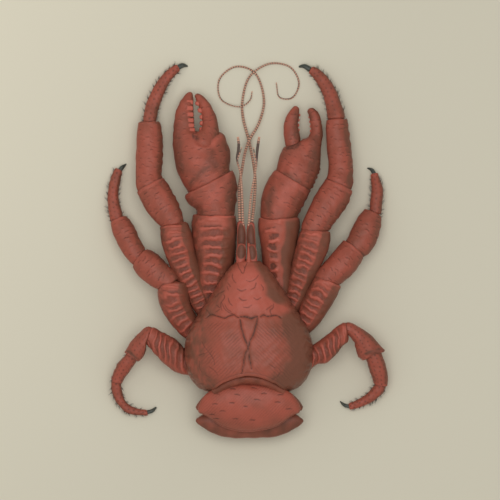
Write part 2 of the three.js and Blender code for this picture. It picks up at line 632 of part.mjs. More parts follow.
// Tail plates overlap like tiles, the third on top
const tail = Object.fromEntries(
  Object.keys(tailPlates).map((name) => [name, tailSolid(tailPlates[name])]),
);
const tailGrown = Object.fromEntries(
  Object.keys(tailPlates).map((name) => [name, tailSolid(tailPlates[name], jointGap)]),
);
place("tail_plate_3", tail.tail_plate_3.subtract(shieldGrown), shell);
place("tail_plate_2", cut(tail.tail_plate_2, [tailGrown.tail_plate_3, shieldGrown]), shellDark);
place("tail_plate_4", cut(tail.tail_plate_4, [tailGrown.tail_plate_3, tailGrown.tail_plate_2]), shellDark);
const firstCuts = [shieldGrown, tailGrown.tail_plate_3, tailGrown.tail_plate_2];
place("tail_plate_1", cut(firstTailPlate(), firstCuts), shellDark);
const tailCuts = [
  shieldGrown,
  firstTailPlate(jointGap),
  tailGrown.tail_plate_2,
  tailGrown.tail_plate_3,
  tailGrown.tail_plate_4,
];
place("tail_sac", cut(tail.tail_sac, tailCuts), underside);

// The trunk is cut out for everything that leaves it
const trunkCuts = [
  shieldGrown,
  tailGrown.tail_sac,
  firstTailPlate(jointGap),
  tailGrown.tail_plate_2,
  ...limbNames.map((limb) => limbSolid(limb, "merus", jointGap)),
  ...sides.map((side) => headSolid(`jaw_foot_${side}`, jointGap)),
];
place("trunk", cut(trunkSolid(), trunkCuts), underside);

// ---------------------------------------------------------------- scene graph
function meshOf(name) {
  const { vertProperties, triVerts } = solids[name].getMesh();
  const geometry = new THREE.BufferGeometry();
  geometry.setAttribute("position", new THREE.BufferAttribute(Float32Array.from(vertProperties), 3));
  geometry.setIndex(new THREE.BufferAttribute(Uint32Array.from(triVerts), 1));
  geometry.computeVertexNormals();
  const mesh = new THREE.Mesh(geometry, materials[name]);
  mesh.name = name;
  return mesh;
}

const crab = new THREE.Group();
const body = new THREE.Group();
for (const name of Object.keys(solids)) {
  body.add(meshOf(name));
}
const box = new THREE.Box3().setFromObject(body);
const center = box.getCenter(new THREE.Vector3());
body.position.set(-center.x, -center.y, -box.min.z);
crab.add(body);

export default crab;
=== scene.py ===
import math
import bpy
import numpy as np
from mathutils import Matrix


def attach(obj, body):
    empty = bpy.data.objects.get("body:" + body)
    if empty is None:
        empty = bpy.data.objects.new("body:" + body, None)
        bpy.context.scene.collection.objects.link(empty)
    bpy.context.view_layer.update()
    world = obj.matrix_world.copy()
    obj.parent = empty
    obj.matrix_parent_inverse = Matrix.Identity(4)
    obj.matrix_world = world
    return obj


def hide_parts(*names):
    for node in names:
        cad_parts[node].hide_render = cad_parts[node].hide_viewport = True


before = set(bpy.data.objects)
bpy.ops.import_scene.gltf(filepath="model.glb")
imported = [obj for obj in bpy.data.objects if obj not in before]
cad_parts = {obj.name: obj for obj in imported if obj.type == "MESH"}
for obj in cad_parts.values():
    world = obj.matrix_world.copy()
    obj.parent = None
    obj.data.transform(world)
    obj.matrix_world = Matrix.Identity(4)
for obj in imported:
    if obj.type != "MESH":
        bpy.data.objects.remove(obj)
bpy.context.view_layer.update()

print("frame loaded,", len(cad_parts), "nodes")

view = {
    "middle": (3.1, 0.2),   # mm, point of the crab in the middle of the picture
    "width": 0.6,           # m, across the picture
    "height": 1.2,          # m, of the camera
    "floorHalf": 3.0,       # m
    "floorColor": (0.64, 0.60, 0.475, 1),
    "ambient": 0.5,
}
lights = [   # name, place and size in m, power, colour
    ("keyLight", (-1.7, 0.8, 1.9), 1.1, 84.0, (1.0, 0.97, 0.93)),
    ("fillLight", (1.5, -0.7, 1.3), 1.4, 12.0, (0.95, 0.97, 1.0)),
    ("topLight", (0.0, 0.1, 2.0), 2.0, 20.0, (1, 1, 1)),
]

# The tables below are in millimetres from the crab's own middle; this moves them into the frame
frameShift = np.array([-0.179, 0.128, 0.0])
mm = 0.001
up = np.array([0.0, 0.0, 1.0])
spineSamples = 401
aimSample = 150      # the sample of a spine whose sideways direction stands for the whole segment
floorGap = 0.02      # mm that a surface stays above the floor
chunkSize = 20000    # points measured at once
rowDraws = 200       # random values for rows of a pattern, more than any segment has rows


def toMetres(points):
    return (np.asarray(points, float) + frameShift) * mm


def smoothStep(low, high, value):
    share = np.clip((value - low) / (high - low), 0, 1)
    return share * share * (3 - 2 * share)


def bell(value, width):
    return np.exp(-(value / width) ** 2)


# Soft random swell from a few crossed waves, about -1 to 1
def swell(points, size, seed):
    draw = np.random.default_rng(seed)
    total = np.zeros(points.shape[:-1])
    for _ in range(8):
        aim = draw.normal(size=3)
        aim *= 2 * math.pi / (size * draw.uniform(0.7, 1.5) * np.linalg.norm(aim))
        total += np.sin(points @ aim + draw.uniform(0, 2 * math.pi))
    return total / 4


# Smooth curve through points, as three.js draws it: centripetal for places, uniform for sizes
def splineAt(points, t, centripetal=True):
    points = np.asarray(points, float)
    spans = len(points) - 1
    held = np.vstack([2 * points[0] - points[1], points, 2 * points[-1] - points[-2]])
    at = np.clip(t, 0, 1) * spans
    i = np.minimum(at.astype(int), spans - 1)
    w = (at - i)[:, None]
    p0, p1, p2, p3 = held[i], held[i + 1], held[i + 2], held[i + 3]
    if centripetal:
        steps = (p1 - p0, p2 - p1, p3 - p2)
        d0, d1, d2 = (np.sqrt(np.linalg.norm(step, axis=1))[:, None] for step in steps)
        m1 = ((p1 - p0) / d0 - (p2 - p0) / (d0 + d1) + (p2 - p1) / d1) * d1
        m2 = ((p2 - p1) / d1 - (p3 - p1) / (d1 + d2) + (p3 - p2) / d2) * d1
    else:
        m1, m2 = (p2 - p0) / 2, (p3 - p1) / 2
    square = 3 * (p2 - p1) - 2 * m1 - m2
    cube = 2 * (p1 - p2) + m1 + m2
    return p1 + w * m1 + w ** 2 * square + w ** 3 * cube


# Stations are [x, y, z, width, rise, depth], and may end with the direction of the section in plan
def spineOf(stations, startRound=0.6, endRound=0.3, tilt=0.0):
    stations = np.asarray(stations, float)
    t = np.linspace(0, 1, spineSamples)
    path = splineAt(stations[:, :3], t)
    sizes = splineAt(stations[:, 3:6] * [0.5, 1, 1], t, centripetal=False)
    run = np.concatenate([[0], np.cumsum(np.linalg.norm(np.diff(path, axis=0), axis=1))])
    tangent = np.gradient(path, t, axis=0)
    tangent /= np.linalg.norm(tangent, axis=1)[:, None]
    side = np.cross(tangent, up)
    if stations.shape[1] > 6:
        side = np.hstack([splineAt(stations[:, 6:], t, centripetal=False), np.zeros((len(t), 1))])
        tangent = np.cross(up, side)
        tangent /= np.linalg.norm(tangent, axis=1)[:, None]
    side /= np.linalg.norm(side, axis=1)[:, None]
    lift = np.cross(side, tangent)
    if tilt:
        cosine, sine = math.cos(tilt), math.sin(tilt)
        side, lift = side * cosine - lift * sine, lift * cosine + side * sine
    return {
        "path": path, "sizes": sizes, "run": run, "tangent": tangent, "side": side, "lift": lift,
        "length": run[-1], "startCap": startRound * sizes[0, 0], "endCap": endRound * sizes[-1, 0],
    }


def alongSpine(spine, s, *names):
    run = spine["run"]
    return [np.stack([np.interp(s, run, values) for values in spine[name].T], axis=-1) for name in names]


# A round tube bent along the spine with domed ends, as rings of points
def loft(spine, spacing=0.8, squareness=1.0, capRings=7, lobes=0.0):
    length, startCap, endCap = spine["length"], spine["startCap"], spine["endCap"]
    quarter = np.linspace(0, math.pi / 2, capRings + 1)[1:-1]
    body = max(4, int((length - startCap - endCap) / spacing))
    share = np.concatenate([np.sin(quarter), np.ones(body + 1), np.sin(quarter[::-1])])
    s = np.concatenate([
        startCap * (1 - np.cos(quarter)),
        startCap + (length - startCap - endCap) * np.linspace(0, 1, body + 1),
        length - endCap * (1 - np.cos(quarter[::-1])),
    ])
    widest = spine["sizes"].max(axis=0)
    girth = math.pi * (widest[0] + (widest[1] + widest[2]) / 2)
    count = max(12, int(girth / spacing / 2) * 2)
    angle = np.arange(count) * 2 * math.pi / count
    place, size, side, lift = alongSpine(spine, s, "path", "sizes", "side", "lift")
    cosine, sine = np.cos(angle), np.sin(angle)
    wide = np.sign(cosine) * np.abs(cosine) ** squareness
    high = np.sign(sine) * np.abs(sine) ** squareness
    reach = np.where(sine[None] > 0, size[:, 1:2], size[:, 2:3])
    points = (
        place[:, None]
        + side[:, None] * (share[:, None] * size[:, :1] * wide[None])[..., None]
        + lift[:, None] * (share[:, None] * reach * high[None])[..., None]
    )
    if lobes:
        scallop = np.abs(np.sin(1.5 * angle + 0.6)) - 0.5 + 0.3 * np.sin(5 * angle)
        push = lobes * smoothStep(length - 6 * lobes, length - endCap * 0.5, s)[:, None] * scallop[None]
        points = points + alongSpine(spine, s, "tangent")[0][:, None] * push[..., None]
    radius = np.broadcast_to(((size[:, 0] + size[:, 1]) / 2)[:, None], (len(s), count))
    turned = (math.pi / 2 - angle + math.pi) % (2 * math.pi) - math.pi   # 0 on top, + to the right
    grid = {
        "points": points, "s": np.repeat(s[:, None], count, 1), "across": turned[None] * radius,
        "radius": radius, "poles": alongSpine(spine, np.array([0.0, length]), "path")[0], "spine": spine,
    }
    grid["normals"] = gridNormals(grid)
    return grid


def gridNormals(grid):
    points = grid["points"]
    forward = np.gradient(points, axis=0)
    around = np.roll(points, -1, axis=1) - np.roll(points, 1, axis=1)
    normals = np.cross(forward, around)
    return normals / np.maximum(np.linalg.norm(normals, axis=2), 1e-9)[..., None]


# How far points lie outside a limb's surface, negative inside
def outside(spine, points):
    keys = ("path", "run", "sizes", "tangent", "side", "lift")
    path, run, sizes, *axes = (spine[key][::5] for key in keys)   # every fifth sample is near enough
    flat = points.reshape(-1, 3)
    nearest = np.empty(len(flat), int)
    for start in range(0, len(flat), chunkSize):
        part = flat[start:start + chunkSize]
        gaps = (part ** 2).sum(1)[:, None] - 2 * part @ path.T + (path ** 2).sum(1)[None]
        nearest[start:start + chunkSize] = gaps.argmin(1)
    off = flat - path[nearest]
    ahead, a, b = ((off * axis[nearest]).sum(1) for axis in axes)
    s = run[nearest] + ahead
    size = sizes[nearest]
    share = 1.0
    for depth in (s / spine["startCap"], (spine["length"] - s) / spine["endCap"]):
        share = share * np.sqrt(np.clip(1 - (1 - np.clip(depth, 0, 1)) ** 2, 0.02, 1))
    reach = np.where(b > 0, size[:, 1], size[:, 2])
    ratio = np.sqrt((a / (size[:, 0] * share)) ** 2 + (b / (reach * share)) ** 2)
    radial = np.hypot(a, b) * (1 - 1 / np.maximum(ratio, 1e-6))
    beyond = np.maximum(0, np.maximum(-s, s - spine["length"]))
    gap = np.where(beyond > 0, np.hypot(np.maximum(radial, 0), beyond), radial)
    return gap.reshape(points.shape[:-1])


# Dark lines drawn in plan: rows of [width, points]
def strokes(points, lines, wobble=0.35, seed=5):
    x = points[..., 0] + wobble * swell(points, 9, seed)
    y = points[..., 1] + wobble * swell(points, 9, seed + 1)
    dark = np.zeros(points.shape[:-1])
    for width, line in lines:
        line = splineAt(line, np.linspace(0, 1, 5 * len(line) - 4))
        low, high = line.min(0) - 3 * width - 1, line.max(0) + 3 * width + 1
        near = (x > low[0]) & (x < high[0]) & (y > low[1]) & (y < high[1])
        px, py = x[near], y[near]
        best = np.full(px.shape, 1e9)
        for i, (a, b) in enumerate(zip(line[:-1], line[1:])):
            run = b - a
            w = np.clip(((px - a[0]) * run[0] + (py - a[1]) * run[1]) / (run @ run), 0, 1)
            gap = np.hypot(px - a[0] - w * run[0], py - a[1] - w * run[1])
            taper = 0.5 + 0.5 * np.sin(math.pi * (i + w) / (len(line) - 1)) ** 0.5
            best = np.minimum(best, gap / taper)
        dark[near] = np.maximum(dark[near], bell(best, width * 0.62))
    return dark


def blankFields(points):
    return {name: np.zeros(points.shape[:-1]) for name in ("lift", "mark", "dusk", "glow")}


# Raises a field where the values are higher
def raiseTo(fields, name, values):
    fields[name] = np.maximum(fields[name], values)


def addObject(name, data, material=None):
    item = bpy.data.objects.new(name, data)
    bpy.context.scene.collection.objects.link(item)
    if material:
        data.materials.append(material)
    return item


def storeField(mesh, name, values):
    field = mesh.attributes.new(name, "FLOAT", "POINT")
    field.data.foreach_set("value", np.asarray(values, np.float32).ravel())


def buildMesh(name, parts, material):
    verts, quads, tris, start = [], [], [], 0
    fields = {"mark": [], "dusk": [], "glow": []}
    for part in parts:
        rings, count = part["points"].shape[:2]
        verts += [part["points"].reshape(-1, 3), part["poles"]]
        row = np.arange(rings - 1)[:, None] * count
        col = np.arange(count)[None]
        nextCol = (col + 1) % count
        corners = [row + col, row + count + col, row + count + nextCol, row + nextCol]
        quads.append(start + np.stack(corners, axis=-1).reshape(-1, 4))
        pole, end = start + rings * count, start + (rings - 1) * count
        ring, turn = col[0], nextCol[0]
        tris.append(np.stack([np.full(count, pole), start + ring, start + turn], axis=1))
        tris.append(np.stack([np.full(count, pole + 1), end + turn, end + ring], axis=1))
        for key, rows in fields.items():
            values = part["fields"][key]
            rows += [values.ravel(), [values[0].mean(), values[-1].mean()]]
        start += rings * count + 2
    verts = toMetres(np.concatenate(verts))
    quads, tris = np.concatenate(quads), np.concatenate(tris)
    mesh = bpy.data.meshes.new(name)
    mesh.vertices.add(len(verts))
    mesh.vertices.foreach_set("co", verts.ravel())
    corners = np.concatenate([quads.ravel(), tris.ravel()])
    sizes = np.concatenate([np.full(len(quads), 4), np.full(len(tris), 3)])
    mesh.loops.add(len(corners))
    mesh.loops.foreach_set("vertex_index", corners)
    mesh.polygons.add(len(sizes))
    mesh.polygons.foreach_set("loop_start", np.concatenate([[0], np.cumsum(sizes)[:-1]]))
    mesh.polygons.foreach_set("use_smooth", np.ones(len(sizes), bool))
    mesh.update(calc_edges=True)
    mesh.validate()
    for key, rows in fields.items():
        storeField(mesh, key, np.clip(np.concatenate(rows), 0, 1))
    return addObject(name, mesh, material)


# Moves the surface by its lift field; fields are kept for the paint
def dress(grid, fields):
    grid["points"] = grid["points"] + grid["normals"] * fields["lift"][..., None]
    grid["points"][..., 2] = np.maximum(grid["points"][..., 2], floorGap)
    grid["fields"] = fields
    return grid


def settle(piece, slotName, *nodes):
    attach(piece, "root")
    if nodes:
        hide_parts(*nodes)
    return piece


# Feeds a node's inputs by label or place, each with a value or from another node's socket
def feed(tree, node, inputs):
    for label, value in inputs.items():
        if isinstance(value, bpy.types.NodeSocket):
            tree.links.new(value, node.inputs[label])
        else:
            node.inputs[label].default_value = value
    return node


def addNode(tree, kind, inputs):
    return feed(tree, tree.nodes.new(kind), inputs)


# A node group; its inputs are given as label, kind and, where there is one, value
def newTree(name, treeKind, inputs, outputs):
    tree = bpy.data.node_groups.new(name, treeKind)
    for label, kind, *value in inputs:
        socket = tree.interface.new_socket(label, in_out="INPUT", socket_type=kind)
        if value:
            socket.default_value = value[0]
    for label, kind in outputs:
        tree.interface.new_socket(label, in_out="OUTPUT", socket_type=kind)
    return tree, tree.nodes.new("NodeGroupInput").outputs, tree.nodes.new("NodeGroupOutput")


def noiseNode(tree, coords, scale, detail=3.0, rough=0.55):
    inputs = {"Vector": coords, "Scale": scale, "Detail": detail, "Roughness": rough}
    return addNode(tree, "ShaderNodeTexNoise", inputs).outputs["Fac"]


def mathNode(tree, operation, *values, clamp=False):
    node = tree.nodes.new("ShaderNodeMath")
    node.operation = operation
    node.use_clamp = clamp
    return feed(tree, node, dict(enumerate(values))).outputs[0]


def rangeNode(tree, value, low, high, toLow=0.0, toHigh=1.0):
    node = tree.nodes.new("ShaderNodeMapRange")
    node.interpolation_type = "SMOOTHSTEP"
    limits = {"From Min": low, "From Max": high, "To Min": toLow, "To Max": toHigh}
    return feed(tree, node, {"Value": value, **limits}).outputs["Result"]


def mixNode(tree, share, a, b):
    node = tree.nodes.new("ShaderNodeMix")
    node.data_type = "RGBA"
    first, second = (i for i, socket in enumerate(node.inputs) if socket.type == "RGBA")
    feed(tree, node, {0: share, first: a, second: b})
    return next(socket for socket in node.outputs if socket.type == "RGBA")


def fieldNode(tree, name):
    reader = tree.nodes.new("ShaderNodeAttribute")
    reader.attribute_name = name
    return reader.outputs["Fac"]


def bumpNode(tree, height, depth, strength=1.0):
    inputs = {"Height": height, "Distance": depth, "Strength": strength}
    return addNode(tree, "ShaderNodeBump", inputs).outputs["Normal"]


def newMaterial(name):
    material = bpy.data.materials.new(name)
    material.use_nodes = True
    return material, material.node_tree, material.node_tree.nodes["Principled BSDF"]


# Paint of the cooked shell: red with brown clouds and painted shade (Dusk), dark lines in the dents,
# paler crests
def makeShellPaint():
    color, number = "NodeSocketColor", "NodeSocketFloat"
    tree, given, sink = newTree("shellPaint", "ShaderNodeTree", [
        ("Red", color, (0.4, 0.09, 0.06, 1)), ("Brown", color, (0.17, 0.06, 0.035, 1)),
        ("Line", color, (0.05, 0.025, 0.018, 1)), ("Crest", color, (0.5, 0.13, 0.09, 1)),
        ("Mark", number, 0), ("Dusk", number, 0), ("Glow", number, 0), ("Clouds", number, 0.4),
        ("Grain", number, 1.0),
    ], [("Color", color), ("Roughness", number), ("Height", number)])
    coords = tree.nodes.new("ShaderNodeTexCoord").outputs["Object"]
    cloud = noiseNode(tree, coords, 26, 4)
    patch = noiseNode(tree, coords, 120, 4, 0.6)
    grain = noiseNode(tree, coords, 650, 3, 0.6)
    pits = addNode(tree, "ShaderNodeTexVoronoi", {"Vector": coords, "Scale": 620})
    pit = rangeNode(tree, pits.outputs["Distance"], 0.05, 0.34, 1, 0)
    cloudy = mathNode(tree, "MULTIPLY", rangeNode(tree, cloud, 0.42, 0.72), given["Clouds"])
    patchy = mathNode(tree, "MULTIPLY", rangeNode(tree, patch, 0.45, 0.75), given["Clouds"])
    brown = mathNode(tree, "ADD", cloudy, mathNode(tree, "MULTIPLY", patchy, 0.6))
    # Dusk adds painted shade on the sides away from the light, and darker patches of the shell's own
    # colour, to the brown share
    brown = mathNode(tree, "ADD", brown, given["Dusk"], clamp=True)
    tint = mixNode(tree, brown, given["Red"], given["Brown"])
    tint = mixNode(tree, given["Glow"], tint, given["Crest"])
    speck = mathNode(tree, "MULTIPLY", pit, mathNode(tree, "MULTIPLY", given["Grain"], 0.22))
    tint = mixNode(tree, speck, tint, given["Line"])
    ragged = rangeNode(tree, noiseNode(tree, coords, 420, 2), 0.3, 0.55, 0.55, 1.0)
    line = mathNode(tree, "MULTIPLY", given["Mark"], ragged, clamp=True)
    rough = mathNode(tree, "MULTIPLY_ADD", patch, 0.3, 0.28)
    markRough = mathNode(tree, "MULTIPLY", given["Mark"], 0.2)
    height = mathNode(tree, "MULTIPLY", grain, 0.55)
    height = mathNode(tree, "SUBTRACT", height, mathNode(tree, "MULTIPLY", pit, 0.5))
    height = mathNode(tree, "ADD", height, mathNode(tree, "MULTIPLY", patch, 0.9))
    feed(tree, sink, {
        "Color": mixNode(tree, line, tint, given["Line"]),
        "Roughness": mathNode(tree, "ADD", rough, markRough, clamp=True),
        "Height": mathNode(tree, "MULTIPLY", height, given["Grain"]),
    })
    return tree


shellPaint = makeShellPaint()

finishes = {   # colours as in paintColors, then the strength of clouds and grain
    "shellRed": ((0.37, 0.084, 0.051), (0.178, 0.063, 0.036), (0.052, 0.022, 0.014),
                 (0.50, 0.118, 0.078), 0.35, 1.0),
    "shieldRed": ((0.37, 0.086, 0.053), (0.18, 0.064, 0.037), (0.058, 0.024, 0.016),
                  (0.47, 0.105, 0.070), 0.3, 0.8),
    # a darker copy of the shell red: the head pieces' own brown, painted shade on the first tail plate in
    # the recess under the shield, and darker lower tail plates
    "brownAndShadedShell": ((0.29, 0.078, 0.046), (0.13, 0.048, 0.027), (0.042, 0.018, 0.012),
                   (0.42, 0.095, 0.065), 0.35, 0.9),
    "belly": ((0.45, 0.16, 0.105), (0.25, 0.09, 0.06), (0.09, 0.04, 0.03),
              (0.54, 0.23, 0.165), 0.5, 0.7),
}
paintColors = ("Red", "Brown", "Line", "Crest")


def shellMaterial(name, bumpDepth=0.00035, coat=0.08):
    material, tree, shader = newMaterial(name)
    paint = tree.nodes.new("ShaderNodeGroup")
    paint.node_tree = shellPaint
    *colors, clouds, grain = finishes[name]
    feed(tree, paint, {label: (*color, 1) for label, color in zip(paintColors, colors)})
    feed(tree, paint, {"Clouds": clouds, "Grain": grain})
    feed(tree, paint, {label: fieldNode(tree, label.lower()) for label in ("Mark", "Dusk", "Glow")})
    feed(tree, shader, {
        "Base Color": paint.outputs["Color"], "Roughness": paint.outputs["Roughness"],
        "Normal": bumpNode(tree, paint.outputs["Height"], bumpDepth, 0.8),
        "Coat Weight": coat, "Coat Roughness": 0.3, "Specular IOR Level": 0.22,
    })
    return material


shellRed = shellMaterial("shellRed")
shieldRed = shellMaterial("shieldRed")
brownAndShadedShell = shellMaterial("brownAndShadedShell")
bellySkin = shellMaterial("belly", bumpDepth=0.0005, coat=0.05)


def simpleMaterial(name, base, dark, scale, roughness, bumpDepth, duskColor=None):
    material, tree, shader = newMaterial(name)
    coords = tree.nodes.new("ShaderNodeTexCoord").outputs["Object"]
    cloud = noiseNode(tree, coords, scale, 4)
    tint = mixNode(tree, rangeNode(tree, cloud, 0.35, 0.7), base, dark)
    if duskColor:
        tint = mixNode(tree, fieldNode(tree, "dusk"), tint, duskColor)
    feed(tree, shader, {
        "Base Color": tint, "Roughness": mathNode(tree, "MULTIPLY_ADD", cloud, 0.25, roughness),
        "Normal": bumpNode(tree, noiseNode(tree, coords, scale * 6, 3), bumpDepth),
    })
    return material


nailHorn = simpleMaterial(
    "nailHorn", (0.030, 0.038, 0.030, 1), (0.075, 0.08, 0.062, 1), 260, 0.22, 0.00025)
hairBrown = simpleMaterial(
    "hairBrown", (0.035, 0.030, 0.024, 1), (0.06, 0.045, 0.033, 1), 400, 0.45, 0.0001)
feelerTan = simpleMaterial(
    "feelerTan", (0.66, 0.36, 0.24, 1), (0.56, 0.27, 0.17, 1), 150, 0.4, 0.0001, (0.08, 0.046, 0.033, 1))
print("materials made")

